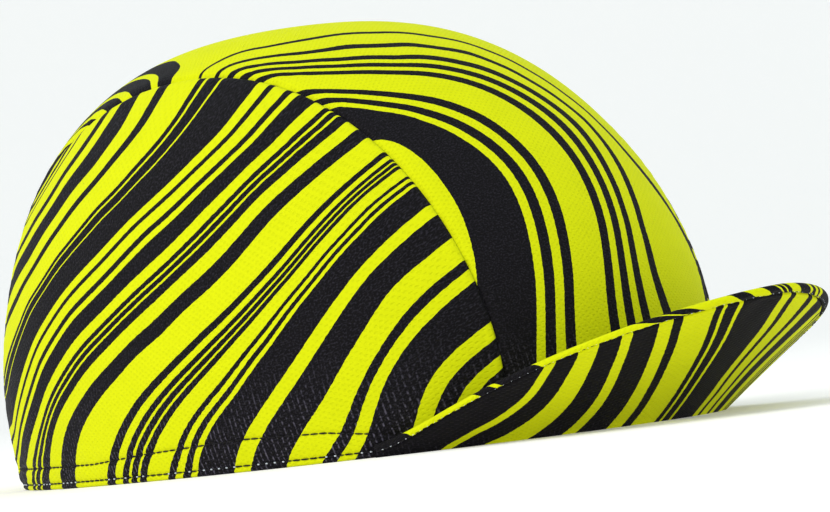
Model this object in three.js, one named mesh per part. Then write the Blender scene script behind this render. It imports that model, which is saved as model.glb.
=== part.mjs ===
// A three-panel cycling cap in the shape that a head gives it, with its small peak turned up in front.
// Millimetres, +Z up, +X to the front, +Y to the wearer's left, and the hem standing on Z = 0.
import * as THREE from "three";
import { mergeVertices } from "three/addons/utils/BufferGeometryUtils.js";

// The crown's outer shape, without the peak
const crownFront = 97.5; // from the crown's middle to its foremost point
const crownBack = 105.5; // from the crown's middle to its rearmost point
const crownHalfWidth = 86.5;
const crownHeight = 112.5;
const crownLeanBack = 10.5; // how far the top sits behind the middle of the hem
const shoulderRoundness = 2.48; // 2 is an ellipsoid, and more is a fuller shoulder
const topRoundness = 2.25;
const hemTuck = 3.3; // how far the side draws in from its widest place down to the hem
const hemTuckHeight = 40;

// The cloth
const clothWall = 1.2;
const hemWall = 2; // the hem is turned up once, so it is thicker
const hemHeight = 8;
const hemFade = 4; // the height over which the turned hem thins out to one layer
const clearance = 0.35; // between pieces that are sewn to each other

// The two long seams. over is the share of the way from the front hem over the top to the back hem,
// and spread is the seam's distance from the middle as a share of the crown's half width.
const seamTable = [
  { over: 0, spread: 0.47 },
  { over: 1 / 6, spread: 0.505 },
  { over: 2 / 6, spread: 0.535 },
  { over: 3 / 6, spread: 0.555 },
  { over: 4 / 6, spread: 0.57 },
  { over: 5 / 6, spread: 0.62 },
  { over: 1, spread: 0.66 },
];

// The seam allowances inside the crown
const allowanceWidth = 5.5;
const allowanceWall = 1;
const allowanceClearance = 0.75; // more than elsewhere, for it lies across the wall's facets
const allowanceAboveBand = 3;

// The sweatband and the elastic at its back
const bandHeight = 15;
const bandWall = 1.25;
const bandFold = 0.35; // how much thicker the folded lower part is
const bandFoldHeight = 6;
const bandGroove = 0.2; // the dent of the stitch line above the fold
const bandGrooveHeight = 2.5;
const bandEdgeRound = 1.5;
const elasticHeight = 3.8;
const elasticLift = 1.8; // from the hem's edge to the elastic's lower edge
const elasticWall = 1;
const elasticReach = 0.92; // the share of the back's width between the seams that it covers

// The peak, which is turned up and stands out from the crown
const peakDepth = 51.8;
const peakEndDepth = 2.5;
const peakHalfSpan = THREE.MathUtils.degToRad(47.5); // from the middle to an end, round the hem
const peakFlareMiddle = THREE.MathUtils.degToRad(56); // from upright
const peakFlareEnd = THREE.MathUtils.degToRad(44.5);
const peakOutlineSide = 1.7; // these two powers set how the depth falls away to the ends
const peakOutlineEnd = 1.45;
const underCoverWall = 1.05;
const topCoverWall = 1.05;
const edgeLip = 3.4; // the top cover is rolled this far round the edge
const edgeLipShare = 0.25; // near the ends the lip is this share of the depth
const edgeRoundShare = 0.9; // and the edge's rounding is at most this share of the lip
const rootShare = 0.3; // how far up its seat at the hem the under cover's inner corner sits

// How finely the cloth is divided
const sidePanelColumns = 34;
const sidePanelRows = 11;
const centrePanelColumns = 38;
const centrePanelRows = 12;
const bandSections = 72;
const peakSections = 34;
const allowanceSections = 32;
const elasticSections = 16;
const edgeArcSteps = 4;

const printedYellow = 0xdcec0a;
const printedDark = 0x1e1b20;
const bareWhite = 0xdfe4ec;
const bandWhite = 0xdbe6ea;

const peakWall = underCoverWall + clearance + topCoverWall;
const bandOuterDepth = hemWall + clearance;
const bandInnerDepth = bandOuterDepth + bandWall;
const foldInnerDepth = bandInnerDepth + bandFold;

// Shape of the crown

// How wide the crown is at a height, as a share of its widest.
function widthShare(z) {
  const rise = Math.min(Math.max(z / crownHeight, 0), 1);
  const below = Math.min(Math.max(1 - z / hemTuckHeight, 0), 1);
  const dome = (1 - rise ** topRoundness) ** (1 / shoulderRoundness);
  return dome * (1 - (hemTuck / crownHalfWidth) * below ** 2);
}

function leanAt(z) {
  return -crownLeanBack * (z / crownHeight) ** 2;
}

// A point of the outer surface by its turn round the crown (0 is the front) and its height.
function wallPoint(turn, z) {
  const share = widthShare(z);
  const length = Math.cos(turn) > 0 ? crownFront : crownBack;
  return new THREE.Vector3(
    share * length * Math.cos(turn) + leanAt(z),
    share * crownHalfWidth * Math.sin(turn),
    z,
  );
}

// The turn round the crown at which the hem is a given distance from the middle.
function turnAtHem(y, atBack) {
  const turn = Math.asin(y / (widthShare(0) * crownHalfWidth));
  return atBack ? Math.PI - turn : turn;
}

// Over 1 outside the crown's outer surface, and under 1 inside it.
function fullness(p) {
  const x = p.x - leanAt(p.z);
  const length = x > 0 ? crownFront : crownBack;
  const share = widthShare(Math.min(p.z, crownHeight));
  return Math.hypot(x / length, p.y / crownHalfWidth) / Math.max(share, 1e-9);
}

// Pushes a point out from start along direction until it lies on the outer surface.
function onSurface(start, direction) {
  const reach = 2 * (crownFront + crownBack + crownHeight);
  let inside = 0;
  let outside = reach;
  for (let halving = 0; halving < 48; halving += 1) {
    const middle = (inside + outside) / 2;
    const p = start.clone().addScaledVector(direction, middle);
    if (p.z < crownHeight && fullness(p) < 1) inside = middle;
    else outside = middle;
  }
  return start.clone().addScaledVector(direction, inside);
}

// The outward direction square to the surface, level near the hem so that the hem's edge is flat.
function outward(p) {
  const step = 0.5;
  const at = (dx, dy, dz) => fullness(new THREE.Vector3(p.x + dx, p.y + dy, p.z + dz));
  const along = (dx, dy, dz) => at(dx, dy, dz) - at(-dx, -dy, -dz);
  const levelTo = bandHeight + allowanceAboveBand;
  const slant = THREE.MathUtils.smoothstep(p.z, levelTo, 2 * levelTo);
  const rise = p.z > step ? along(0, 0, step) * slant : 0;
  return new THREE.Vector3(along(step, 0, 0), along(0, step, 0), rise).normalize();
}

function inward(p, depth) {
  return p.clone().addScaledVector(outward(p), -depth);
}

function wallAt(z) {
  const fade = THREE.MathUtils.clamp((z - hemHeight) / hemFade, 0, 1);
  return THREE.MathUtils.lerp(hemWall, clothWall, fade);
}

// A seam's distance from the middle, on a smooth curve through the table's rows.
const seamCurve = new THREE.SplineCurve(
  seamTable.map((row) => new THREE.Vector2(row.over, row.spread)),
);

function seamDistance(over) {
  return seamCurve.getPoint(THREE.MathUtils.clamp(over, 0, 1)).y * crownHalfWidth;
}

// A point of the outer surface by its way over the top and its distance from the middle.
function pointOver(over, y) {
  const angle = Math.PI * over;
  const direction = new THREE.Vector3(Math.cos(angle), 0, Math.sin(angle));
  const p = onSurface(new THREE.Vector3(0, y, 0), direction);
  if (over === 0 || over === 1) p.z = 0;
  return p;
}

// The way over the top, as pointOver takes it, of the outer surface's point at a distance from the
// middle and a height.
function wayOverAt(y, z, atBack) {
  const share = widthShare(z);
  const length = atBack ? -crownBack : crownFront;
  const x = share * length * Math.sqrt(1 - (y / (share * crownHalfWidth)) ** 2) + leanAt(z);
  return Math.atan2(z, x) / Math.PI;
}

// Solids

// One closed solid through sections, each a closed loop of as many points. faces lists the triangles
// that fill a loop, by its point numbers, and isn't needed when the last section meets the first.
function loft(sections, faces) {
  const count = sections[0].length;
  const ringCount = sections.length;
  const spans = faces ? ringCount - 1 : ringCount;
  const triangles = [];
  for (let ring = 0; ring < spans; ring += 1) {
    const next = (ring + 1) % ringCount;
    for (let k = 0; k < count; k += 1) {
      const after = (k + 1) % count;
      const corners = [ring * count + k, ring * count + after, next * count + after, next * count + k];
      triangles.push([corners[0], corners[1], corners[2]], [corners[0], corners[2], corners[3]]);
    }
  }
  const last = (ringCount - 1) * count;
  for (const [a, b, c] of faces ?? []) {
    triangles.push([c, b, a], [last + a, last + b, last + c]);
  }
  return solidFrom(sections.flat(), triangles);
}

// Joins points that coincide, drops triangles that closed up, and turns the faces outwards.
function solidFrom(points, triangles) {
  const loose = new THREE.BufferGeometry().setFromPoints(points);
  loose.setIndex(triangles.flat());
  const joined = mergeVertices(loose, 1e-3);
  const index = joined.index.array;
  const at = (k) => new THREE.Vector3().fromBufferAttribute(joined.attributes.position, k);
  const kept = [];
  let volume = 0;
  for (let k = 0; k < index.length; k += 3) {
    const [a, b, c] = index.slice(k, k + 3);
    if (a === b || b === c || c === a) continue;
    kept.push([a, b, c]);
    volume += at(a).dot(at(b).cross(at(c)));
  }
  const facing = volume < 0 ? kept.map(([a, b, c]) => [a, c, b]) : kept;
  joined.setIndex(facing.flat());
  joined.computeVertexNormals();
  return joined;
}

// The triangles that fill a loop made of an outer row followed by the inner row backwards.
function stripFaces(rowLength) {
  const faces = [];
  for (let k = 0; k < rowLength - 1; k += 1) {
    const back = 2 * rowLength - 1 - k;
    faces.push([k, k + 1, back - 1], [k, back - 1, back]);
  }
  return faces;
}

// The triangles that fill any flat outline, given as pairs of numbers.
function outlineFaces(outline) {
  const contour = outline.map(([x, y]) => new THREE.Vector2(x, y));
  return THREE.ShapeUtils.triangulateShape(contour, []);
}

// A cloth wall under columns of points on the crown's outer surface.
function clothShell(columns) {
  const loops = columns.map((outer) => [
    ...outer,
    ...outer.map((p) => inward(p, wallAt(p.z))).reverse(),
  ]);
  return loft(loops, stripFaces(columns[0].length));
}

function shares(count) {
  return Array.from({ length: count + 1 }, (_, k) => k / count);
}

// The pieces

// The panel that runs from the front hem over the top to the back hem, between the two seams.
function centrePanel() {
  const columns = shares(centrePanelColumns).map((over) => {
    const half = seamDistance(over) - clearance / 2;
    return shares(centrePanelRows).map((across) => pointOver(over, half * (2 * across - 1)));
  });
  return clothShell(columns);
}

// One side panel, shaped like a D: its straight edge is the hem, and its round edge is the seam.
function sidePanel(side) {
  const seamY = (over) => seamDistance(over) + clearance / 2;
  const frontTurn = turnAtHem(seamY(0), false);
  const backTurn = turnAtHem(seamY(1), true);
  const centre = new THREE.Vector3(0, 0, 0);
  const columns = shares(sidePanelColumns).map((over) => {
    const atHem = wallPoint(THREE.MathUtils.lerp(frontTurn, backTurn, over), 0);
    const atSeam = pointOver(over, seamY(over));
    return shares(sidePanelRows).map((up) => {
      const direction = atHem.clone().lerp(atSeam, up).normalize();
      const p = onSurface(centre, direction);
      return new THREE.Vector3(p.x, side * p.y, p.z);
    });
  });
  return clothShell(columns);
}

// The edges of both panels, turned in and laid flat on the side panel's inner face.
function seamAllowance(side) {
  const lowest = bandHeight + allowanceAboveBand;
  const widest = clearance + allowanceWidth;
  const from = wayOverAt(seamDistance(0) + widest, lowest, false);
  const to = wayOverAt(seamDistance(1) + widest, lowest, true);
  const near = clothWall + allowanceClearance;
  const sections = shares(allowanceSections).map((k) => {
    const over = THREE.MathUtils.lerp(from, to, k);
    const inner = seamDistance(over) + clearance;
    const edges = [inner, inner + allowanceWidth / 2, inner + allowanceWidth];
    const rows = edges.map((y) => pointOver(over, side * y));
    return [
      ...rows.map((p) => inward(p, near)),
      ...rows.map((p) => inward(p, near + allowanceWall)).reverse(),
    ];
  });
  return loft(sections, stripFaces(3));
}

// A ring or strip inside the hem. profile lists how deep inside the outer surface each corner lies,
// and its height.
function insideBand(turns, profile, closed) {
  const sections = turns.map((turn) =>
    profile.map(({ depth, z }) => inward(wallPoint(turn, z), depth)),
  );
  if (closed) return loft(sections);
  return loft(sections, outlineFaces(profile.map(({ depth, z }) => [depth, z])));
}

function sweatband() {
  const profile = [
    { depth: bandOuterDepth, z: 0 },
    { depth: bandInnerDepth, z: 0 },
    { depth: foldInnerDepth, z: bandEdgeRound },
    { depth: foldInnerDepth, z: bandFoldHeight },
    { depth: bandInnerDepth - bandGroove, z: bandFoldHeight + bandFold },
    { depth: bandInnerDepth, z: bandFoldHeight + bandGrooveHeight },
    { depth: bandInnerDepth, z: bandHeight },
    { depth: bandOuterDepth, z: bandHeight },
  ];
  const turns = shares(bandSections)
    .slice(0, -1)
    .map((k) => 2 * Math.PI * k);
  return insideBand(turns, profile, true);
}

function backElastic() {
  const halfTurn = Math.PI - turnAtHem(seamDistance(1) * elasticReach, true);
  const near = foldInnerDepth + clearance;
  const profile = [
    { depth: near, z: elasticLift },
    { depth: near + elasticWall, z: elasticLift },
    { depth: near + elasticWall, z: elasticLift + elasticHeight },
    { depth: near, z: elasticLift + elasticHeight },
  ];
  const turns = shares(elasticSections).map((k) => Math.PI + halfTurn * (2 * k - 1));
  return insideBand(turns, profile, false);
}

// Where the peak stands at one place along it: along is -1 at its right end and 1 at its left end.
// reach(s, k) gives the point s out from the crown and k below the peak's upper face.
function peakFrame(along) {
  const away = Math.abs(along);
  const flare = THREE.MathUtils.lerp(peakFlareMiddle, peakFlareEnd, away ** 2);
  const fall = (1 - away ** peakOutlineSide) ** peakOutlineEnd;
  const depth = THREE.MathUtils.lerp(peakEndDepth, peakDepth, fall);
  const polar = along * peakHalfSpan;
  const turn = Math.atan2(crownFront * Math.sin(polar), crownHalfWidth * Math.cos(polar));
  const seat = peakWall * Math.sin(flare);
  const foot = wallPoint(turn, 0);
  const level = outward(foot);
  const wall = (z) => wallPoint(turn, z).addScaledVector(level, clearance);
  const root = wall(seat);
  const up = new THREE.Vector3(0, 0, 1);
  const out = level.clone().multiplyScalar(Math.sin(flare)).addScaledVector(up, Math.cos(flare));
  const under = level.clone().multiplyScalar(Math.cos(flare)).addScaledVector(up, -Math.sin(flare));
  const reach = (s, k) => root.clone().addScaledVector(out, s).addScaledVector(under, k);
  return { depth, seat, wall, reach, lip: Math.min(edgeLip, edgeLipShare * depth) };
}

// The cover that faces outwards while the peak is turned up. Its foot reaches down to the hem's edge.
function peakUnderCover() {
  const inner = peakWall - underCoverWall;
  const sections = shares(peakSections).map((k) => {
    const { depth, seat, wall, reach, lip } = peakFrame(2 * k - 1);
    const end = depth - lip - clearance;
    return [
      wall(0),
      reach(0, peakWall),
      reach(end / 2, peakWall),
      reach(end, peakWall),
      reach(end, inner),
      reach(end / 2, inner),
      wall(rootShare * seat),
    ];
  });
  const faces = [
    [0, 1, 6],
    [1, 5, 6],
    [1, 2, 5],
    [2, 3, 4],
    [2, 4, 5],
  ];
  return loft(sections, faces);
}

// The cover that faces the crown. Its edge is rolled round to the other side as a lip.
function peakTopCover() {
  const sections = shares(peakSections).map((k) => {
    const { depth, seat, wall, reach, lip } = peakFrame(2 * k - 1);
    const tipReach = Math.min(peakWall / 2, edgeRoundShare * lip);
    const tip = shares(edgeArcSteps).map((step) => {
      const angle = Math.PI * step;
      const out = depth - tipReach * (1 - Math.sin(angle));
      return reach(out, (peakWall / 2) * (1 - Math.cos(angle)));
    });
    const lipStart = depth - lip;
    return [
      wall(seat),
      reach(lipStart / 2, 0),
      ...tip,
      reach(lipStart, peakWall),
      reach(lipStart, topCoverWall),
      reach(lipStart / 2, topCoverWall),
      wall(rootShare * seat + clearance),
    ];
  });
  const tipEnd = 2 + edgeArcSteps;
  const faces = [
    [0, 1, tipEnd + 4],
    [1, tipEnd + 3, tipEnd + 4],
    [1, tipEnd + 2, tipEnd + 3],
    [1, 2, tipEnd + 2],
    [tipEnd, tipEnd + 1, tipEnd + 2],
  ];
  for (let k = 2; k < tipEnd; k += 1) faces.push([k, k + 1, tipEnd + 2]);
  return loft(sections, faces);
}

// The assembly

function piece(name, geometry, color, roughness) {
  const material = new THREE.MeshStandardMaterial({ color, roughness, metalness: 0 });
  const mesh = new THREE.Mesh(geometry, material);
  mesh.name = name;
  return mesh;
}

const cap = new THREE.Group();
cap.add(
  piece("crown_centre_panel", centrePanel(), printedYellow, 0.8),
  piece("crown_side_panel_left", sidePanel(1), printedYellow, 0.8),
  piece("crown_side_panel_right", sidePanel(-1), printedYellow, 0.8),
  piece("peak_under_cover", peakUnderCover(), printedYellow, 0.75),
  piece("peak_top_cover", peakTopCover(), printedDark, 0.75),
  piece("sweatband", sweatband(), bandWhite, 0.6),
  piece("back_elastic", backElastic(), bandWhite, 0.7),
  piece("seam_allowance_left", seamAllowance(1), bareWhite, 0.9),
  piece("seam_allowance_right", seamAllowance(-1), bareWhite, 0.9),
);

// The origin is under the middle of the whole cap, peak included.
const box = new THREE.Box3().setFromObject(cap);
cap.position.x = -(box.min.x + box.max.x) / 2;

export default cap;
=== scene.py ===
# %% [markdown]
# # A cycling cap in striped knit
# The cap is sewn from three panels of printed knit: one that runs over the top from front to back,
# and a D-shaped one at each side. A small peak is turned up in front, and inside the hem sit a white
# sweatband and a short elastic. The plain solids of all these pieces are loaded first, and they fix
# every size and place. Each later step makes one piece again, finely enough to be seen close by.

# %% Load the plain solids
import math

import bmesh
import bpy
import numpy as np
from mathutils import Matrix, Vector


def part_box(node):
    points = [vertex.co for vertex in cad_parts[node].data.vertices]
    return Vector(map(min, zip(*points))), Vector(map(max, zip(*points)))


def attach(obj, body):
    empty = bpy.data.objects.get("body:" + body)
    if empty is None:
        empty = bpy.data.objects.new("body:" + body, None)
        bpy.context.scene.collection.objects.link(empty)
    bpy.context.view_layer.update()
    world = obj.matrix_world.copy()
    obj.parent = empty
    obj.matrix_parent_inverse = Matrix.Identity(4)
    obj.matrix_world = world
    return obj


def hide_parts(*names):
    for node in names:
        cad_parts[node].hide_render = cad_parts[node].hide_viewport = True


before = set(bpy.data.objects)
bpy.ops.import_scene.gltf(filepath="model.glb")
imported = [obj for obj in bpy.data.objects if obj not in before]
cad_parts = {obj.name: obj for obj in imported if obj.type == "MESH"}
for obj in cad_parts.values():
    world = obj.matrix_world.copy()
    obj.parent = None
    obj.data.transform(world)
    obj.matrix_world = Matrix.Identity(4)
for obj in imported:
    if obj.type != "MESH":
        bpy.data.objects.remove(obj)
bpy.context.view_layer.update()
print("loaded", len(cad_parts), "solids")

# %% [markdown]
# ## The crown's form
# A cap has no form of its own until a head fills it. The filled crown is close to an egg: seen from
# above it is an oval that is longer behind than in front, and seen from the side it rises with full
# shoulders to a top that sits a little behind the middle. So one formula gives how wide the crown is
# at each height. The numbers are the same as those of the solids, in millimetres, which are easier
# to read for cloth than metres.

# %% Sizes of the crown
MM = 0.001
CROWN_FRONT = 97.5
CROWN_BACK = 105.5
CROWN_HALF_WIDTH = 86.5
CROWN_HEIGHT = 112.5
CROWN_LEAN_BACK = 10.5
SHOULDER_ROUNDNESS = 2.48
TOP_ROUNDNESS = 2.25
HEM_TUCK = 3.3
HEM_TUCK_HEIGHT = 40


def width_share(z):
    """How wide the crown is at a height, as a share of its widest."""
    rise = np.clip(z / CROWN_HEIGHT, 0, 1)
    below = np.clip(1 - z / HEM_TUCK_HEIGHT, 0, 1)
    dome = (1 - rise**TOP_ROUNDNESS) ** (1 / SHOULDER_ROUNDNESS)
    return dome * (1 - HEM_TUCK / CROWN_HALF_WIDTH * below**2)


def lean_at(z):
    return -CROWN_LEAN_BACK * (z / CROWN_HEIGHT) ** 2


def wall_point(turn, z):
    """The point of the outer surface at a turn round the crown, 0 in front, and a height."""
    turn, z = np.broadcast_arrays(turn, z)
    share = width_share(z)
    length = np.where(np.cos(turn) > 0, CROWN_FRONT, CROWN_BACK)
    x = share * length * np.cos(turn) + lean_at(z)
    return np.stack([x, share * CROWN_HALF_WIDTH * np.sin(turn), z], axis=-1)


heights = np.linspace(0, CROWN_HEIGHT, 500)
rearmost = wall_point(math.pi, heights)[:, 0].min()
crown_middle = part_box("crown_centre_panel")[0].x / MM - rearmost
print(f"the crown's middle lies at x = {crown_middle:.2f} mm")

# %% [markdown]
# ## Points on the crown
# A panel is drawn on the crown by pushing points out from inside until they reach the surface. The
# distance has no simple formula, so it is found by halving: is the middle of the stretch inside or
# outside? Some forty halvings are exact enough for any needle. NumPy does it for all points at once.

# %% Push points out to the surface
HALVINGS = 44
LONGEST_REACH = 400


def fullness(points):
    """Under 1 inside the crown, and over 1 outside it."""
    x = points[..., 0] - lean_at(points[..., 2])
    length = np.where(x > 0, CROWN_FRONT, CROWN_BACK)
    share = width_share(np.minimum(points[..., 2], CROWN_HEIGHT))
    return np.hypot(x / length, points[..., 1] / CROWN_HALF_WIDTH) / np.maximum(share, 1e-9)


def on_surface(start, direction):
    inside = np.zeros(direction.shape[:-1])
    outside = np.full_like(inside, LONGEST_REACH)
    for _ in range(HALVINGS):
        middle = (inside + outside) / 2
        points = start + direction * middle[..., None]
        within = (points[..., 2] < CROWN_HEIGHT) & (fullness(points) < 1)
        inside = np.where(within, middle, inside)
        outside = np.where(within, outside, middle)
    return start + direction * inside[..., None]


def point_over(over, y):
    """over is the way from the front hem over the top to the back hem, from 0 to 1."""
    over, y = np.broadcast_arrays(over, y)
    zero = np.zeros_like(y)
    direction = np.stack([np.cos(math.pi * over), zero, np.sin(math.pi * over)], axis=-1)
    points = on_surface(np.stack([zero, y, zero], axis=-1), direction)
    points[..., 2] = np.maximum(points[..., 2], 0)
    return points


# %% [markdown]
# ## Which way is out
# To give the cloth its thickness and its small dents, a piece of code has to know which way is out
# of the surface. That is the direction in which the crown's fullness grows fastest. Near the hem the
# direction is kept level, so that the hem's edge stays flat and can lie on a table.

# %% Outward directions
BAND_HEIGHT = 15
LEVEL_TO = BAND_HEIGHT + 3
PROBE = 0.5


def unit(vectors):
    return vectors / np.linalg.norm(vectors, axis=-1, keepdims=True)


def smoothstep(low, high, value):
    share = np.clip((value - low) / (high - low), 0, 1)
    return share * share * (3 - 2 * share)


def outward(points):
    def change(axis):
        step = np.zeros(3)
        step[axis] = PROBE
        return fullness(points + step) - fullness(points - step)

    z = points[..., 2]
    rise = np.where(z > PROBE, change(2) * smoothstep(LEVEL_TO, 2 * LEVEL_TO, z), 0)
    return unit(np.stack([change(0), change(1), rise], axis=-1))


def hem_turn(y, at_back):
    """The turn round the crown at which the hem is a distance y from the middle."""
    turn = math.asin(y / (width_share(0) * CROWN_HALF_WIDTH))
    return math.pi - turn if at_back else turn


# %% [markdown]
# ## The two long seams
# On the real cap the side panels join the middle one along two seams, which run a little further
# apart at the back. A short table says how far each seam is from the middle line, and a smooth curve
# runs through its rows. NumPy has no such curve ready, so it is put together from cubic pieces.

# %% Seams
SEAM_OVER = np.arange(7) / 6
SEAM_SPREAD = np.array([0.47, 0.505, 0.535, 0.555, 0.57, 0.62, 0.66])


def curve_through(xs, ys, at):
    """A smooth curve through points: a cubic piece between each two, with matching slopes."""
    slopes = np.gradient(ys, xs)
    k = np.clip(np.searchsorted(xs, at, side="right") - 1, 0, len(xs) - 2)
    width = xs[k + 1] - xs[k]
    t = np.clip((at - xs[k]) / width, 0, 1)
    start = (1 + 2 * t) * (1 - t) ** 2 * ys[k] + t * (1 - t) ** 2 * width * slopes[k]
    end = t**2 * (3 - 2 * t) * ys[k + 1] - t**2 * (1 - t) * width * slopes[k + 1]
    return start + end


def seam_distance(over):
    return curve_through(SEAM_OVER, SEAM_SPREAD, np.asarray(over, float)) * CROWN_HALF_WIDTH


print(f"the seams are {2 * seam_distance(0):.0f} mm apart in front, {2 * seam_distance(1):.0f} behind")

# %% [markdown]
# ## From a net of points to a piece of cloth
# Every sewn piece here is a row of cross-sections, each a closed loop with as many points. Faces
# between neighbouring loops make a skin, and two caps close its ends. A printed piece has two UV
# maps: one holds the print's number at each point and the point's height, and the other says in
# millimetres where it lies in the knit, so that stitches get the right size on every piece.

# %% Build one piece from its sections
JOIN_WITHIN = 2e-6
CLOSED_UNDER = 1e-6
SHARP_FROM = math.radians(50)


def section_faces(count, around, ring, strip_caps):
    spans = count if ring else count - 1
    row = np.arange(spans)[:, None] * around
    following = (np.arange(spans)[:, None] + 1) % count * around
    here = np.arange(around)[None, :]
    after = (here + 1) % around
    quads = np.stack([row + here, row + after, following + after, following + here], axis=-1)
    faces = quads.reshape(-1, 4).tolist()
    places = np.tile(np.arange(around), spans).tolist()
    if ring:
        return faces, places
    for base in (0, (count - 1) * around):
        if strip_caps:
            for k in range(around // 2 - 1):
                pair = (k, k + 1, around - 2 - k, around - 1 - k)
                faces.append([base + p for p in pair])
                places.append(k)
        else:
            faces.append([base + p for p in range(around)])
            places.append(0)
    return faces, places


def mesh_of(name, points, faces, maps, finishes):
    """A mesh from points in millimetres. Each map holds two numbers for every point."""
    placed = (points + np.array([crown_middle, 0, 0])) * MM
    mesh = bpy.data.meshes.new(name)
    mesh.from_pydata(placed.tolist(), [], faces)
    corners = np.empty(len(mesh.loops), np.int32)
    mesh.loops.foreach_get("vertex_index", corners)
    for map_name, values in maps.items():
        layer = mesh.uv_layers.new(name=map_name)
        layer.data.foreach_set("uv", values.reshape(-1, 2)[corners].astype(np.float32).ravel())
    for finish in finishes:
        mesh.materials.append(finish)
    return mesh


def in_scene(name, data):
    made = bpy.data.objects.new(name, data)
    bpy.context.scene.collection.objects.link(made)
    return made


def cloth_piece(name, sections, maps, finishes, inner_from=None, ring=False, strip_caps=True):
    """sections are rings of points. From point inner_from to its last, a ring shows the inside."""
    count, around = sections.shape[:2]
    faces, places = section_faces(count, around, ring, strip_caps)
    mesh = mesh_of(name, sections.reshape(-1, 3), faces, maps, finishes)
    if inner_from is not None:
        inner = [1 if inner_from <= place < around - 1 else 0 for place in places]
        mesh.polygons.foreach_set("material_index", inner)
    tidy_mesh(mesh)
    print(name, "has", len(mesh.polygons), "faces")
    return in_scene(name, mesh)


def tidy_mesh(mesh):
    """Joins points that coincide, drops faces that closed up, and turns all faces outwards."""
    work = bmesh.new()
    work.from_mesh(mesh)
    bmesh.ops.remove_doubles(work, verts=work.verts, dist=JOIN_WITHIN)
    bmesh.ops.dissolve_degenerate(work, edges=work.edges, dist=CLOSED_UNDER)
    bmesh.ops.recalc_face_normals(work, faces=work.faces)
    work.to_mesh(mesh)
    work.free()
    mesh.shade_smooth()
    mesh.set_sharp_from_angle(angle=SHARP_FROM)


def sew_on(piece, slot, *nodes):
    """The piece moves with the cap and stands for its plain solids."""
    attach(piece, "root")
    if nodes:
        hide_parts(*nodes)


# %% [markdown]
# ## The stripes are charted, not photographed
# The print is a set of wavy stripes that spread and close like the grain of wood. Such a pattern
# can be drawn as an image, but an image is fixed in its detail. Here it is charted instead:
# a few guide lines follow the edges of some stripes over the cloth, and each has a number. A smooth
# field then gives every point of the cloth a number between those of the guides round it, and a
# stripe is simply all the cloth whose number lies between two values. The chart was held against
# measures of real stripes, and points that were off were moved. The field is a thin plate spline:
# the shape that a thin steel sheet takes when a stiff spring holds it at the height of each guide
# point. The springs give a little, which evens out small slips in the chart.

# %% The field that spreads the guides over the cloth
SPRING_GIVE = 60
POINTS_AT_ONCE = 4000


def plate_kernel(squares):
    squares = np.maximum(squares, 1e-9)
    return squares * np.log(squares)


def print_field(guides):
    """A function that gives the print's number at points, from guides {number: points on it}."""
    places = np.array([p for line in guides.values() for p in line], float)
    numbers = np.array([n for n, line in guides.items() for _ in line], float)
    count = len(places)
    plane = np.column_stack([np.ones(count), places])
    squares = ((places[:, None] - places[None]) ** 2).sum(-1)
    system = np.zeros((count + 3, count + 3))
    system[:count, :count] = plate_kernel(squares) + SPRING_GIVE * np.eye(count)
    system[:count, count:] = plane
    system[count:, :count] = plane.T
    weights = np.linalg.solve(system, np.concatenate([numbers, np.zeros(3)]))

    def number_at(points):
        flat = points.reshape(-1, 2)
        values = []
        for part in np.array_split(flat, max(1, len(flat) // POINTS_AT_ONCE)):
            near = plate_kernel(((part[:, None] - places[None]) ** 2).sum(-1))
            values.append(near @ weights[:count] + weights[count] + part @ weights[count + 1 :])
        return np.concatenate(values).reshape(points.shape[:-1])

    return number_at


# %% [markdown]
# ## Chart of the side panel
# The guides of the side panel are read in its side view: how far forward of the crown's middle, and
# how high. The stripes come down from the seam, swing back, and turn almost upright over the hem.
# Each stripe is a pair of numbers, where the black begins and where it ends.

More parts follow.
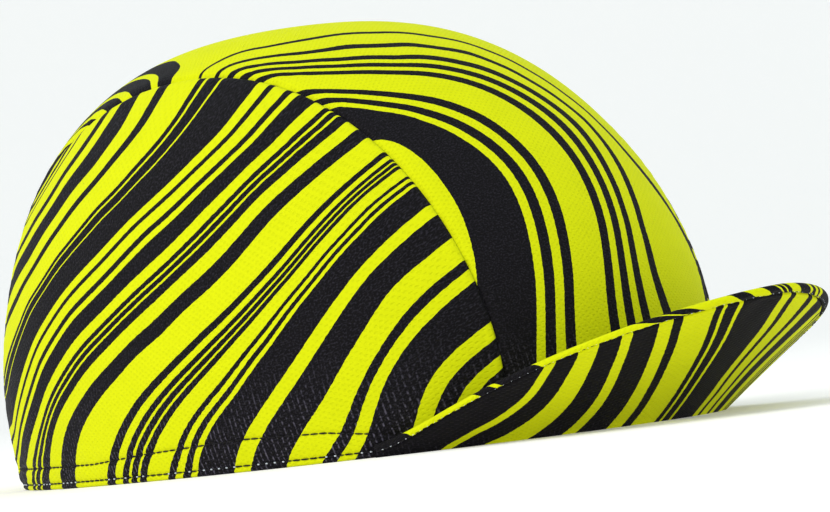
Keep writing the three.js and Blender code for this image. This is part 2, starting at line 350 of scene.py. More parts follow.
# %% Side panel chart: {number: [(forward, up), ...]} in millimetres
SIDE_GUIDES = {
    -36: [(-55, 84), (-62, 77), (-72, 72), (-84, 69)],
    -24: [(-44, 88), (-50, 80), (-60, 72), (-72, 66), (-84, 62)],
    -12: [(-33.5, 92), (-42, 80), (-54, 69), (-66, 62)],
    0: [(-22, 98), (-19.9, 90), (-26.3, 80), (-38, 70), (-51.4, 59.2), (-71.5, 49.6)],
    9.5: [(-11, 98), (-10.3, 90), (-18.2, 80), (-30.2, 70), (-43, 59.3), (-57.8, 49), (-71.4, 43.8)],
    19.3: [(-1.4, 98), (-0.8, 90), (-7.9, 80), (-20.4, 70), (-34.5, 59.5), (-49.2, 49.2), (-64.3, 37.4),
           (-70.5, 34)],
    25.8: [(7.2, 93), (3.9, 84), (-1.7, 76.9), (-10, 70), (-20, 63.3), (-29.4, 57.2), (-39.6, 50.2),
           (-49.5, 42.8), (-59.4, 34.2), (-69.6, 26.4)],
    35.3: [(18.8, 95), (17, 85), (8.3, 75), (-5.8, 65), (-21.3, 54.4), (-36, 44.4), (-48, 34.7),
           (-58.5, 25), (-67, 18), (-77, 17.2)],
    46.3: [(31, 90), (26.8, 80), (16.7, 70), (3.6, 60), (-11.1, 49.5), (-24.4, 42.2), (-39.1, 31.4),
           (-48.9, 22.1), (-59.2, 14.4), (-70, 7.5), (-75, 5)],
    51.5: [(34.4, 85), (28.1, 75.2), (19.6, 65.6), (8, 55.3), (-4.9, 47.4), (-19.6, 38.7),
           (-34.3, 28.4), (-44, 19.4), (-51.7, 13.6), (-58.3, 8.1), (-65, 0.3)],
    60: [(45.2, 80.3), (37.6, 70.5), (28.9, 60.8), (15.8, 49.8), (5.3, 42.7), (-9.3, 33.8),
         (-24.3, 24.3), (-34.3, 16.8), (-38.9, 11.7), (-41.7, 6.4), (-45, 0.3)],
    68.3: [(52.2, 77), (46.1, 70), (41.5, 65), (37, 60), (33.2, 55), (29.2, 50), (23.4, 45),
           (10, 35.3), (-5, 26.6), (-20, 16.8), (-25, 11.8), (-28.5, 5), (-30.5, 0)],
    78: [(56, 73.5), (50.3, 65), (46.6, 60), (43, 55), (39.2, 50), (34.1, 45), (28.6, 40),
         (21.7, 35), (14.4, 30), (7, 25), (0, 20.2), (-10, 10.5), (-14, 5), (-16.3, 0)],
    83.2: [(-3, 9), (-6.6, 3)],
    90.3: [(56.9, 60), (50.3, 50), (42.8, 40), (34, 30), (23.6, 20)],
    94: [(65.2, 65), (57.9, 55), (50, 43.7), (40, 30.3), (30, 19.2), (20, 9.8), (17.2, 5.9),
         (15.3, 0.9)],
    100.5: [(68.3, 59.5), (61.3, 50), (54.7, 40), (48, 30), (40.3, 20), (31.4, 10), (27.8, 5),
            (25.6, 0)],
    109.5: [(72.8, 50), (64.4, 40), (59.4, 30), (53.3, 20), (45.6, 10), (41.7, 5), (39.3, 1)],
    116.5: [(77, 41.5), (71.7, 35), (65, 25), (59.7, 15), (55.8, 5.5)],
    126: [(80.8, 28.5), (73.3, 20), (68.6, 10), (67.5, 7)],
    132: [(82.2, 20.6), (77.8, 15.9), (74.5, 10)],
}
SIDE_BLACK = [
    (-48, -45), (-41, -33), (-31, -28.5), (-26, -24.5), (-15.5, -11.8), (-7.4, 0), (6.2, 9.8),
    (20, 21.7), (22.4, 25.6), (26.2, 35.7), (38.4, 40), (43.3, 45), (46.8, 51.5), (54.1, 55.3),
    (55.8, 57.1), (57.6, 60), (63.7, 68.3), (77.9, 80.2), (81.9, 83.3), (83.9, 85.2), (85.7, 87),
    (90.3, 91.4), (92.4, 93.5), (94.4, 100.8), (103.8, 109.8), (114.5, 116.4), (118.6, 126.1),
    (129.2, 132.2), (134.3, 141), (144, 146),
]
side_print_at = print_field(SIDE_GUIDES)
print("the side panel has", len(SIDE_BLACK), "black stripes")

# %% [markdown]
# ## Chart of the middle panel
# The middle panel is long and narrow, so its chart is read along its middle line, from the front hem
# over the top, and across it, with minus towards the wearer's right. A family of arches comes up
# from the peak and bends away over the right seam, and a wide black band follows them.

# %% Middle panel chart: {number: [(along, across), ...]} in millimetres
CENTRE_GUIDES = {
    -40.2: [(42, -43.8), (50, -42.3), (60, -40.8), (75, -40.2), (85, -40.7), (94, -42.5),
            (98.5, -45.5)],
    -26: [(20, -34.6), (30, -33), (50, -28.5), (70, -26), (85, -29.6), (95, -34.3), (105, -39.8),
          (115, -45.2)],
    -15: [(27, -23.5), (40, -20.2), (60, -15.6), (70, -15), (80, -16.5), (90, -20), (100, -26.2),
          (110, -34.6), (120, -41.4), (130, -46.6)],
    -4: [(31, -12.8), (50, -7), (60, -4.8), (70, -4), (80, -5.4), (90, -8.8), (100, -15),
         (110, -24.4), (120, -34), (130, -40.8), (140, -45.2)],
    9.5: [(37, 1.7), (50, 5.7), (60, 8.1), (75, 10), (90, 6.5), (100, 0.2), (110, -9),
          (120, -22.5), (130, -32.6), (140, -39), (155, -45)],
    16.4: [(38, 9), (50, 11), (60, 14.2), (75, 17.2), (85, 16.8), (95, 11.5), (105, 5.5),
           (115, -1.5), (125, -13.5), (135, -25.5), (145, -35.8), (160, -43.5)],
    26: [(42, 41), (50, 40), (58, 37), (66, 31.5), (75, 26), (85, 22.5), (95, 18), (105, 12.5),
         (115, 6), (125, -4), (135, -15), (145, -26), (155, -35), (166, -44)],
    35: [(20, 56), (50, 52), (80, 41), (100, 31), (120, 18), (140, 0), (155, -16), (166, -30),
         (174, -45)],
    50: [(60, 58), (80, 55), (100, 48), (120, 37), (140, 24), (160, 14),
         (185, 7), (220, 3), (260, 2), (340, 0), (177, -45), (185, -39), (200, -31), (220, -26),
         (250, -24), (290, -24), (341, -25)],
    62: [(120, 49), (140, 40), (160, 31), (185, 24), (220, 20), (260, 19), (340, 17),
         (190, -48.5), (200, -41.6), (215, -36), (240, -33), (290, -34), (341, -36)],
    75: [(160, 47), (185, 40), (220, 36), (260, 36), (340, 36), (206, -51), (213, -46),
         (232, -43), (260, -44), (300, -46), (341, -48)],
    88: [(220, 50), (260, 53), (340, 56), (240, -53), (270, -54), (300, -56)],
}
CENTRE_BLACK = [
    (-40.2, -26), (-23.7, -20.7), (-18, -15), (-4, -0.9), (1.5, 4.5), (6.9, 9.7), (14.1, 16.6),
    (25.2, 27.2), (50, 57), (59.5, 66), (69, 74), (77, 78.5), (81, 90),
]
centre_print_at = print_field(CENTRE_GUIDES)
print("the middle panel has", len(CENTRE_BLACK), "black stripes")

# %% [markdown]
# ## Chart of the peak
# The peak's under side faces outwards while it is turned up. Its chart is read along the root, from
# the middle and minus towards the wearer's right, and outwards from the root. The rolled edge is cut
# from another part of the cloth, so its stripes don't meet those of the under side.

# %% Peak charts: {number: [(along, out), ...]}, and the edge's stripes by their place along it
PEAK_GUIDES = {
    -60: [(-78, 0), (-72, 3), (-66, 8), (-60, 13), (-55, 18)],
    -43.3: [(-61.2, 1), (-54, 6.6), (-47.3, 12.7), (-43.7, 18.2), (-42.6, 24)],
    -36.7: [(-50.1, 0.4), (-45.7, 2.7), (-39.8, 9.3), (-36.8, 18.2), (-35.9, 27.1)],
    -32.2: [(-40.9, -0.4), (-37.9, 2.4), (-33.4, 11), (-32.1, 20.4), (-32, 32)],
    -27.2: [(-32.1, -0.9), (-29.8, 2.7), (-27.3, 11.6), (-27.6, 24.9), (-28.7, 35.4)],
    -19.1: [(-19.7, -1.8), (-18, 7.1), (-19, 20.4), (-21.2, 33.8), (-22.3, 39.3)],
    -13.6: [(-11.5, -1.8), (-11.1, 3.8), (-12.6, 14.9), (-14.8, 26), (-18.7, 42.7)],
    -6.8: [(-3.2, -1.8), (-4.3, 8.2), (-6.8, 19.9), (-9.3, 31), (-13.2, 45.4)],
    7.1: [(13.8, -1.8), (11.3, 6), (8.2, 14.9), (6, 24.9), (4.1, 36), (1, 47.1)],
    10.7: [(18.8, -1.8), (14.9, 8.8), (11.3, 17.7), (9.1, 28.2), (5.4, 44.9)],
    19: [(27.4, -1.8), (21.8, 7.7), (19.1, 16.6), (17.9, 27.1), (16.3, 43.8)],
    27.8: [(37.4, -1.8), (32.1, 7.1), (28.5, 16), (27.1, 27.1), (27.1, 33.8)],
    35.5: [(44.9, -0.7), (39.3, 8.2), (35.7, 17.1), (34.9, 20.4)],
    39.7: [(49.9, 0.4), (43.8, 8.8), (40.2, 17.7)],
    55: [(64, 0), (60, 5), (57, 10), (55, 15), (54, 20)],
    70: [(77, 0), (74, 4), (72, 8)],
}
PEAK_BLACK = [
    (-75, -43.3), (-41, -36.7), (-32.2, -27.2), (-24.9, -19.1), (-15.9, -13.6), (-6.8, -5.2),
    (-4.4, -2.1), (-1.3, 7.1), (9.3, 10.7), (14.6, 16.3), (19, 23.8), (27.8, 28.8), (29.8, 31.2),
    (32.4, 35.5), (39.7, 47), (50, 52), (58, 66), (70, 80),
]
EDGE_BLACK = [
    (-80, -69), (-54, -51), (-50, -43), (-26, -22.3), (-21.7, -18.5), (-11, -8.3), (-5, -2.5),
    (-2.1, -1.2), (-0.8, 0.3), (3, 6.6), (7.6, 9), (10.2, 11.3), (12.8, 30), (33, 36), (40, 55),
    (60, 62), (66, 80),
]
peak_print_at = print_field(PEAK_GUIDES)
print("the peak has", len(PEAK_BLACK), "black stripes below and", len(EDGE_BLACK), "on its edge")

# %% [markdown]
# ## Small helpers for node trees
# A procedural material is a tree of nodes. Two helpers keep the tree readable: one adds a node and
# plugs its inputs in one go, and one adds a Math node and hands back its result. The others are
# built on these two, for noise, for a slope between two values, and for groups.

# %% Node helpers


def add_node(tree, kind, inputs=None, **settings):
    node = tree.nodes.new(kind)
    for name, value in settings.items():
        setattr(node, name, value)
    for socket, value in (inputs or {}).items():
        if isinstance(value, bpy.types.NodeSocket):
            tree.links.new(value, node.inputs[socket])
        else:
            node.inputs[socket].default_value = value
    return node


def math_node(tree, operation, *values):
    node = add_node(tree, "ShaderNodeMath", dict(enumerate(values)), operation=operation)
    return node.outputs[0]


def noise(tree, place, scale, detail):
    inputs = {"Vector": place, "Scale": scale, "Detail": detail}
    return add_node(tree, "ShaderNodeTexNoise", inputs).outputs["Fac"]


def slope(tree, value, limits, curve="LINEAR"):
    """0 at the first limit and beyond, 1 at the second and beyond, and between them a slope."""
    inputs = {"Value": value, "From Min": limits[0], "From Max": limits[1]}
    node = add_node(tree, "ShaderNodeMapRange", inputs, interpolation_type=curve)
    return node.outputs["Result"]


def new_group(name, inputs, outputs):
    """A shader node group with named sockets. Returns its tree, input sockets and output node."""
    group = bpy.data.node_groups.new(name, "ShaderNodeTree")
    for label, (kind, default) in inputs.items():
        socket = group.interface.new_socket(label, in_out="INPUT", socket_type=kind)
        if default is not None:
            socket.default_value = default
    for label, kind in outputs.items():
        group.interface.new_socket(label, in_out="OUTPUT", socket_type=kind)
    return group, group.nodes.new("NodeGroupInput").outputs, group.nodes.new("NodeGroupOutput")


def put_out(tree, output, sockets):
    for label, socket in sockets.items():
        tree.links.new(socket, output.inputs[label])


def use_group(tree, group, inputs):
    node = tree.nodes.new("ShaderNodeGroup")
    node.node_tree = group
    for socket, value in inputs.items():
        if isinstance(value, bpy.types.NodeSocket):
            tree.links.new(value, node.inputs[socket])
        else:
            node.inputs[socket].default_value = value
    return node.outputs


# %% [markdown]
# ## The knit
# Sports knit for caps is a birdseye mesh: rows of tiny round dimples, each row shifted by half a
# step. It can be made as thousands of real loops, which nobody would see at this distance, or as a
# height that only bends the light. Two sine waves multiplied give exactly such a shifted net. Where
# cloth is stretched it opens along its columns, so the group also gives short streaks on slightly
# slanted columns, and a fine grain. Every knitted piece uses it, so it has sockets of its own.

# %% Group: birdseye knit
FLOAT = "NodeSocketFloat"
VECTOR = "NodeSocketVector"
COLOUR = "NodeSocketColor"
YARN_SCALE = 1.1
NET_UNEVEN = 1.6
DIMPLES_BETWEEN = (1.0, 1.7)
COLUMN_PITCH = 1.25
COLUMN_SLANT = 0.14
COLUMNS_BETWEEN = (0.4, 1.0)
DASH_SHAPE = (1.0, 0.9, 1.0)
DASH_SCALE = 1.25
DASHES_BETWEEN = (0.42, 0.66)
GRAIN_SCALE = 2.2
GRAIN_BETWEEN = (0.48, 0.72)
MOTTLE_SCALE = 0.11
YARN_HEIGHT = 0.5

knit_group, knit_in, knit_out = new_group(
    "birdseye knit",
    {"Place": (VECTOR, None), "Wale": (FLOAT, 1.0), "Course": (FLOAT, 0.7)},
    {"Dimples": FLOAT, "Height": FLOAT, "Mottle": FLOAT, "Streaks": FLOAT, "Grain": FLOAT},
)
place = add_node(knit_group, "ShaderNodeSeparateXYZ", {0: knit_in["Place"]}).outputs


def half_waves(value, step):
    steps = math_node(knit_group, "DIVIDE", value, step)
    return math_node(knit_group, "SINE", math_node(knit_group, "MULTIPLY", steps, math.pi))


net = math_node(
    knit_group, "MULTIPLY",
    half_waves(place["X"], knit_in["Wale"]), half_waves(place["Y"], knit_in["Course"]),
)
yarn = noise(knit_group, knit_in["Place"], YARN_SCALE, 2.0)
uneven_net = math_node(knit_group, "MULTIPLY_ADD", yarn, NET_UNEVEN, net)
# The dimple mask shapes the knit's height, and the materials also use it to paint shade into the
# dimples
dimples = slope(knit_group, uneven_net, DIMPLES_BETWEEN, "SMOOTHSTEP")
slant = math_node(knit_group, "MULTIPLY_ADD", place["Y"], COLUMN_SLANT, place["X"])
column_turns = math_node(knit_group, "MULTIPLY", slant, 2 * math.pi / COLUMN_PITCH)
column_wave = math_node(knit_group, "SINE", column_turns)
columns = slope(knit_group, column_wave, COLUMNS_BETWEEN, "SMOOTHSTEP")
drawn_place = add_node(
    knit_group, "ShaderNodeVectorMath", {0: knit_in["Place"], 1: DASH_SHAPE}, operation="MULTIPLY",
).outputs["Vector"]
dash_noise = noise(knit_group, drawn_place, DASH_SCALE, 1.0)
dashes = slope(knit_group, dash_noise, DASHES_BETWEEN, "SMOOTHSTEP")
grain = slope(knit_group, noise(knit_group, knit_in["Place"], GRAIN_SCALE, 1.0), GRAIN_BETWEEN)
yarn_height = math_node(knit_group, "MULTIPLY", yarn, YARN_HEIGHT)
put_out(
    knit_group, knit_out,
    {
        "Dimples": dimples,
        "Height": math_node(knit_group, "SUBTRACT", yarn_height, dimples),
        "Mottle": noise(knit_group, knit_in["Place"], MOTTLE_SCALE, 3.0),
        "Streaks": math_node(knit_group, "MULTIPLY", columns, dashes),
        "Grain": grain,
    },
)
print("the knit group has", len(knit_group.nodes), "nodes")

# %% [markdown]
# ## The dye
# The cloth is knitted white and printed afterwards. Ink covers the loops but not the depths between
# them, so on black white yarn grins through, as a fine grain everywhere and as light streaks near
# the hem, where the cloth is stretched. On yellow the dimples are painted darker, as painted shade
# in the knit's small hollows, and the yellow also has a random mottle. One group turns the stripe
# mask and the knit into a colour and a roughness, and all printed pieces use it.

# %% Group: printed dye
YELLOW = (0.70, 0.745, 0.003, 1)
YELLOW_MOTTLE_AND_PAINTED_SHADE = (0.50, 0.58, 0.0, 1)
BLACK = (0.0052, 0.0046, 0.0058, 1)
GRIN = (0.11, 0.10, 0.14, 1)
DIMPLE_PAINTED_SHADE = 0.15
MOTTLE_SHADE = 0.5
YELLOW_ROUGHNESS = 0.82
BLACK_SMOOTHER_BY = 0.12
MIX_FIRST = 6
MIX_SECOND = 7
MIX_COLOUR = 2


def mix_colour(tree, share, first, second):
    inputs = {"Factor": share, MIX_FIRST: first, MIX_SECOND: second}
    node = add_node(tree, "ShaderNodeMix", inputs, data_type="RGBA")
    return node.outputs[MIX_COLOUR]


dye_group, dye_in, dye_out = new_group(
    "printed dye",
    {"Black": (FLOAT, 0), "Dimples": (FLOAT, 0), "Mottle": (FLOAT, 0.5), "Streaks": (FLOAT, 0),
     "Grain": (FLOAT, 0), "Stretch": (FLOAT, 0), "Fine Grin": (FLOAT, 0.13)},
    {"Colour": COLOUR, "Roughness": FLOAT},
)
uneven = math_node(dye_group, "SUBTRACT", dye_in["Mottle"], 0.5)
cloudy = math_node(dye_group, "MULTIPLY", uneven, MOTTLE_SHADE)
# Painted shade: the yellow is darkened in the knit's dimples, and a random mottle is added to it
dimple_shade_and_mottle = math_node(dye_group, "MULTIPLY_ADD", dye_in["Dimples"], DIMPLE_PAINTED_SHADE, cloudy)
yellow = mix_colour(dye_group, dimple_shade_and_mottle, YELLOW, YELLOW_MOTTLE_AND_PAINTED_SHADE)
fine_grin = math_node(dye_group, "MULTIPLY", dye_in["Grain"], dye_in["Fine Grin"])
grin = math_node(dye_group, "MULTIPLY_ADD", dye_in["Streaks"], dye_in["Stretch"], fine_grin)
black = mix_colour(dye_group, grin, BLACK, GRIN)
dyed = mix_colour(dye_group, dye_in["Black"], yellow, black)
dry = math_node(
    dye_group, "MULTIPLY_ADD", dye_in["Black"], -BLACK_SMOOTHER_BY, YELLOW_ROUGHNESS
)
put_out(dye_group, dye_out, {"Colour": dyed, "Roughness": dry})
print("the dye group has", len(dye_group.nodes), "nodes")

# %% [markdown]
# ## From print numbers to stripes
# A colour ramp with constant steps is the shortest way to say "black from here to there". It stores
# only some 250 steps, though, so one ramp over the whole chart would blur the finest stripes. The
# chart is therefore cut into stretches of some 25 millimetres with a ramp for each, and the largest
# of their answers is the mask. A little noise on the number gives the stripes the slightly uneven
# edge that ink has on knit.

# %% Stripe mask
RAMP_SPAN = 26
RAMP_STOPS = 30
RAMP_MARGIN = 0.5


def stretches(bands):
    """Splits the black bands into lists that one ramp can hold."""
    groups = [[]]
    for band in bands:
        start = groups[-1][0][0] if groups[-1] else band[0]
        if groups[-1] and (band[1] - start > RAMP_SPAN or 2 * len(groups[-1]) + 2 > RAMP_STOPS):
            groups.append([])
        groups[-1].append(band)
    return groups


def stripe_ramp(tree, number, bands):
    low = bands[0][0] - RAMP_MARGIN
    high = bands[-1][1] + RAMP_MARGIN
    share = slope(tree, number, (low, high))
    ramp_node = add_node(tree, "ShaderNodeValToRGB", {"Fac": share})
    ramp = ramp_node.color_ramp
    ramp.interpolation = "CONSTANT"
    ramp.elements[0].color = (0, 0, 0, 1)
    ramp.elements.remove(ramp.elements[1])
    for start, end in bands:
        ramp.elements.new((start - low) / (high - low)).color = (1, 1, 1, 1)
        ramp.elements.new((end - low) / (high - low)).color = (0, 0, 0, 1)
    return ramp_node.outputs["Color"]


def stripe_mask(tree, number, bands):
    mask = None
    for group in stretches(bands):
        part = stripe_ramp(tree, number, group)
        mask = part if mask is None else math_node(tree, "MAXIMUM", mask, part)
    return mask


# %% [markdown]
# ## Printed knit
# The panels, the under side of the peak and its edge are one cloth with different stripes, so one
# function makes the material from a list of black bands. The Principled BSDF and its plain numbers
# stay in the material: a soft sheen for the fluff of the yarn, and little mirror shine.

# %% Printed materials
STRETCH_HEIGHTS = (27, 3)
EDGE_NOISE = 0.3
EDGE_NOISE_SCALE = 0.9
PRINT_SHINE = 0.07
PRINT_SHEEN = 0.012
PRINT_SHEEN_ROUGHNESS = 0.5
PRINT_RELIEF = 0.00009


def read_map(tree, name):
    return add_node(tree, "ShaderNodeUVMap", uv_map=name).outputs["UV"]


def new_material(name):
    material = bpy.data.materials.new(name)
    material.use_nodes = True
    tree = material.node_tree
    tree.nodes.clear()
    output = tree.nodes.new("ShaderNodeOutputMaterial")
    surface = tree.nodes.new("ShaderNodeBsdfPrincipled")
    tree.links.new(surface.outputs["BSDF"], output.inputs["Surface"])
    return material, tree, surface


def set_plain(surface, **values):
    """Numbers and colours that are the same all over, set on the shader's own sockets."""
    for name, value in values.items():
        surface.inputs[name.replace("_", " ")].default_value = value


def knit_bump(tree, surface, height, depth):
    bump = add_node(tree, "ShaderNodeBump", {"Height": height, "Strength": 1.0, "Distance": depth})
    tree.links.new(bump.outputs["Normal"], surface.inputs["Normal"])


def printed_knit(name, bands, fine_grin):
    material, tree, surface = new_material(name)
    knit = use_group(tree, knit_group, {"Place": read_map(tree, "knit")})
    printed = add_node(tree, "ShaderNodeSeparateXYZ", {0: read_map(tree, "print")}).outputs
    wobble = noise(tree, read_map(tree, "knit"), EDGE_NOISE_SCALE, 1.0)
    shift = math_node(tree, "MULTIPLY", math_node(tree, "SUBTRACT", wobble, 0.5), EDGE_NOISE)
    number = math_node(tree, "ADD", printed["X"], shift)
    black_mask = stripe_mask(tree, number, bands)
    stretch = slope(tree, printed["Y"], STRETCH_HEIGHTS)
    wanted = {"Black": black_mask, "Stretch": stretch, "Fine Grin": fine_grin}
    wanted.update({part: knit[part] for part in ("Dimples", "Mottle", "Streaks", "Grain")})
    dye = use_group(tree, dye_group, wanted)
    tree.links.new(dye["Colour"], surface.inputs["Base Color"])
    tree.links.new(dye["Roughness"], surface.inputs["Roughness"])
    set_plain(surface, Specular_IOR_Level=PRINT_SHINE, Sheen_Weight=PRINT_SHEEN)
    set_plain(surface, Sheen_Roughness=PRINT_SHEEN_ROUGHNESS)
    knit_bump(tree, surface, knit["Height"], PRINT_RELIEF)
    return material


side_print = printed_knit("side panel print", SIDE_BLACK, fine_grin=0.16)
centre_print = printed_knit("middle panel print", CENTRE_BLACK, fine_grin=0.14)
peak_print = printed_knit("peak print", PEAK_BLACK, fine_grin=0.04)
edge_print = printed_knit("peak edge print", EDGE_BLACK, fine_grin=0.1)

# %% [markdown]
# ## White cloth
# Inside, the same knit is bare: white yarn with a cool tint, and painted shade in its dimples. The
# sweatband is a smooth tape, the elastic is ribbed, and the threads are twisted. Tapes and threads
# differ in colour and in the height that bends the light, so one function makes them, and each gets
# its own height.

# %% White and thread materials
BARE_LIGHT = (0.87, 0.90, 0.95, 1)
BARE_PAINTED_SHADE = (0.80, 0.84, 0.91, 1)
BARE_COURSE = 0.9
BARE_ROUGHNESS = 0.78
BARE_RELIEF = 0.0001
BARE_SHEEN = 0.15
UNEVEN_ROUGHNESS = 0.2
TAPE_GRAIN_SCALE = 1.4
TAPE_GRAIN_SHADE = 0.9
TAPE_GRAIN_HEIGHT = 0.5
TAPE_SHINE = 0.2


def tint(tree, surface, share, light, dark):
    tree.links.new(mix_colour(tree, share, light, dark), surface.inputs["Base Color"])


def wave_height(tree, place, axis, pitch):
    value = add_node(tree, "ShaderNodeSeparateXYZ", {0: place}).outputs[axis]
    turns = math_node(tree, "MULTIPLY", value, 2 * math.pi / pitch)
    return math_node(tree, "MULTIPLY_ADD", math_node(tree, "SINE", turns), 0.5, 0.5)


def bare_knit(name):
    material, tree, surface = new_material(name)
    knit = use_group(tree, knit_group, {"Place": read_map(tree, "knit"), "Course": BARE_COURSE})
    # Painted shade: the knit's dimples are tinted darker than the white yarn
    tint(tree, surface, knit["Dimples"], BARE_LIGHT, BARE_PAINTED_SHADE)
    rough = math_node(tree, "MULTIPLY_ADD", knit["Mottle"], UNEVEN_ROUGHNESS, BARE_ROUGHNESS)
    tree.links.new(rough, surface.inputs["Roughness"])
    set_plain(surface, Sheen_Weight=BARE_SHEEN)
    knit_bump(tree, surface, knit["Height"], BARE_RELIEF)
    return material


def ribbed_tape(name, axis, pitch, light, dark, depth, roughness, sheen):
    material, tree, surface = new_material(name)
    rib = wave_height(tree, read_map(tree, "knit"), axis, pitch)
    grain = noise(tree, read_map(tree, "knit"), TAPE_GRAIN_SCALE, 3.0)
    tint(tree, surface, math_node(tree, "MULTIPLY", grain, TAPE_GRAIN_SHADE), light, dark)
    rough = math_node(tree, "MULTIPLY_ADD", grain, UNEVEN_ROUGHNESS, roughness)
    tree.links.new(rough, surface.inputs["Roughness"])
    set_plain(surface, Sheen_Weight=sheen, Specular_IOR_Level=TAPE_SHINE)
    height = math_node(tree, "MULTIPLY_ADD", grain, TAPE_GRAIN_HEIGHT, rib)
    knit_bump(tree, surface, height, depth)
    return material


inner_knit = bare_knit("bare knit")
tape_finish = ribbed_tape(
    "sweatband tape", axis="X", pitch=0.62, light=(0.82, 0.88, 0.90, 1),
    dark=(0.74, 0.81, 0.85, 1), depth=0.00004, roughness=0.42, sheen=0.2,
)
elastic_finish = ribbed_tape(
    "ribbed elastic", axis="Y", pitch=0.75, light=(0.82, 0.87, 0.90, 1),
    dark=(0.68, 0.75, 0.80, 1), depth=0.00012, roughness=0.6, sheen=0.2,
)
dark_thread = ribbed_tape(
    "black thread", axis="X", pitch=0.5, light=(0.011, 0.010, 0.013, 1),
    dark=(0.006, 0.005, 0.007, 1), depth=0.00005, roughness=0.6, sheen=0.01,
)
white_thread = ribbed_tape(
    "white thread", axis="X", pitch=0.5, light=(0.75, 0.80, 0.88, 1),
    dark=(0.55, 0.60, 0.70, 1), depth=0.00005, roughness=0.5, sheen=0.2,
)
print("finishes:", [material.name for material in bpy.data.materials])

# %% [markdown]
# ## Where the net of points is fine
# Cloth is smooth in the middle of a panel and full of small events at its edges: the hem's fold, two
# rows of stitches, the roll of the seam. So the net is fine near the edges and coarse between. One
# helper lays points along columns of any length: short steps first, even ones between, and short
# ones again. The others measure along rows of points and read values off them.

# %% Spacing along a column
HEM_STEPS = [0.2] * 6 + [0.4] * 20
SEAM_STEPS = [0.25] * 10
EDGE_SHARE = 0.34


def spaced(lengths, first, middle_count, last):
    """Distances along columns of these lengths, with the same number of points in each."""
    lengths = np.asarray(lengths, float)[:, None]
    near = np.concatenate([[0], np.cumsum(first)])
    far = np.concatenate([[0], np.cumsum(last)])[::-1]
    near_scale = np.minimum(1, EDGE_SHARE * lengths / near[-1])
    far_scale = np.minimum(1, EDGE_SHARE * lengths / far[0])
    start = near[-1] * near_scale
    stop = lengths - far[0] * far_scale
    share = np.arange(1, middle_count)[None, :] / middle_count
    return np.concatenate(
        [near * near_scale, start + (stop - start) * share, lengths - far * far_scale], axis=1
    )


def lengths_along(points):
    steps = np.linalg.norm(np.diff(points, axis=-2), axis=-1)
    zero = np.zeros(steps.shape[:-1] + (1,))
    return np.concatenate([zero, np.cumsum(steps, axis=-1)], axis=-1)


def on_path(at, distance, points):
    """The points at some distances along a path of points."""
    return np.stack([np.interp(at, distance, points[:, k]) for k in range(3)], axis=1)


def column(values, like):
    """One value for each row of a grid, repeated along the row."""
    return values[:, None] + 0 * like


# %% [markdown]
# ## Small relief at the seams and the hem
# The seam shows as a line where both cloths roll in, with a soft swelling beside it and short
# puckers that the thread draws. The hem is turned up once and sewn with two rows of stitches, so its
# edge is round, the rows are shallow grooves, and the cloth stands a little proud between them.
# These are all heights over the smooth form, added up point by point.

# %% Relief
SEAM_ROLL = 1.5
SEAM_DEPTH = 0.75
SEAM_SWELL = 0.22
SEAM_SWELL_AT = 2.8
SEAM_SWELL_WIDTH = 1.8
PUCKER_HEIGHT = 0.16
PUCKER_REACH = 3.5
PUCKER_PITCH = 6.3
HEM_EDGE_ROUND = 0.9
LOWER_ROW = 1.5
GROOVE_DEPTH = 0.34
GROOVE_WIDTH = 0.42
HEM_SWELL = 0.2
HEM_PUCKER = 0.8
HEM_PUCKER_PITCH = 8.5
ABOVE_HEIGHT = 0.12
ABOVE_ROW = 2.2
ABOVE_WIDTH = 1.6
ABOVE_PITCH = 7.1
FORM_UNEVEN = 0.22
FORM_LENGTHS = (17, 13, 15, 29)
FORM_STARTS = (0.6, 1.1)
FORM_SECOND = 0.7
FORM_HEIGHTS = (10, 40)
MAIN_WAVE = 0.6
OTHER_WAVE = 1.37
OTHER_START = 1.1
UPPER_ROW_AT = np.array([-102.0, -20, 0, 30, 50, 60, 70])
UPPER_ROW_HEIGHT = np.array([5.8, 5.6, 6.8, 7.9, 7.2, 5.6, 4.0])


def upper_row(x):
    return np.interp(x, UPPER_ROW_AT, UPPER_ROW_HEIGHT)


def pucker(along, pitch):
    """A wave that never quite repeats, from -1 to 1."""
    turns = 2 * math.pi * along / pitch
    other = np.sin(OTHER_WAVE * turns + OTHER_START)
    return MAIN_WAVE * np.sin(turns) + (1 - MAIN_WAVE) * other


def seam_relief(gap, along):
    roll = -SEAM_DEPTH * np.clip(1 - gap / SEAM_ROLL, 0, 1) ** 2
    swell = SEAM_SWELL * np.exp(-(((gap - SEAM_SWELL_AT) / SEAM_SWELL_WIDTH) ** 2))
    drawn = PUCKER_HEIGHT * np.exp(-gap / PUCKER_REACH) * pucker(along, PUCKER_PITCH)
    return roll + swell + drawn * np.clip(gap / SEAM_ROLL, 0, 1)


def groove(z, row):
    return -GROOVE_DEPTH * np.exp(-(((z - row) / GROOVE_WIDTH) ** 2))


def hem_relief(points, along):
    z = points[..., 2]
    row = upper_row(points[..., 0])
    inside = np.clip(HEM_EDGE_ROUND - z, 0, HEM_EDGE_ROUND)
    edge = np.sqrt(HEM_EDGE_ROUND**2 - inside**2) - HEM_EDGE_ROUND
    between = np.clip((z - LOWER_ROW) / (row - LOWER_ROW), 0, 1)
    drawn = 1 + HEM_PUCKER * pucker(along, HEM_PUCKER_PITCH)
    swell = HEM_SWELL * np.sin(math.pi * between) * drawn
    above = ABOVE_HEIGHT * np.exp(-(((z - row - ABOVE_ROW) / ABOVE_WIDTH) ** 2))
    above = above * (1 + pucker(along, ABOVE_PITCH))
    return edge + groove(z, LOWER_ROW) + groove(z, row) + swell + above


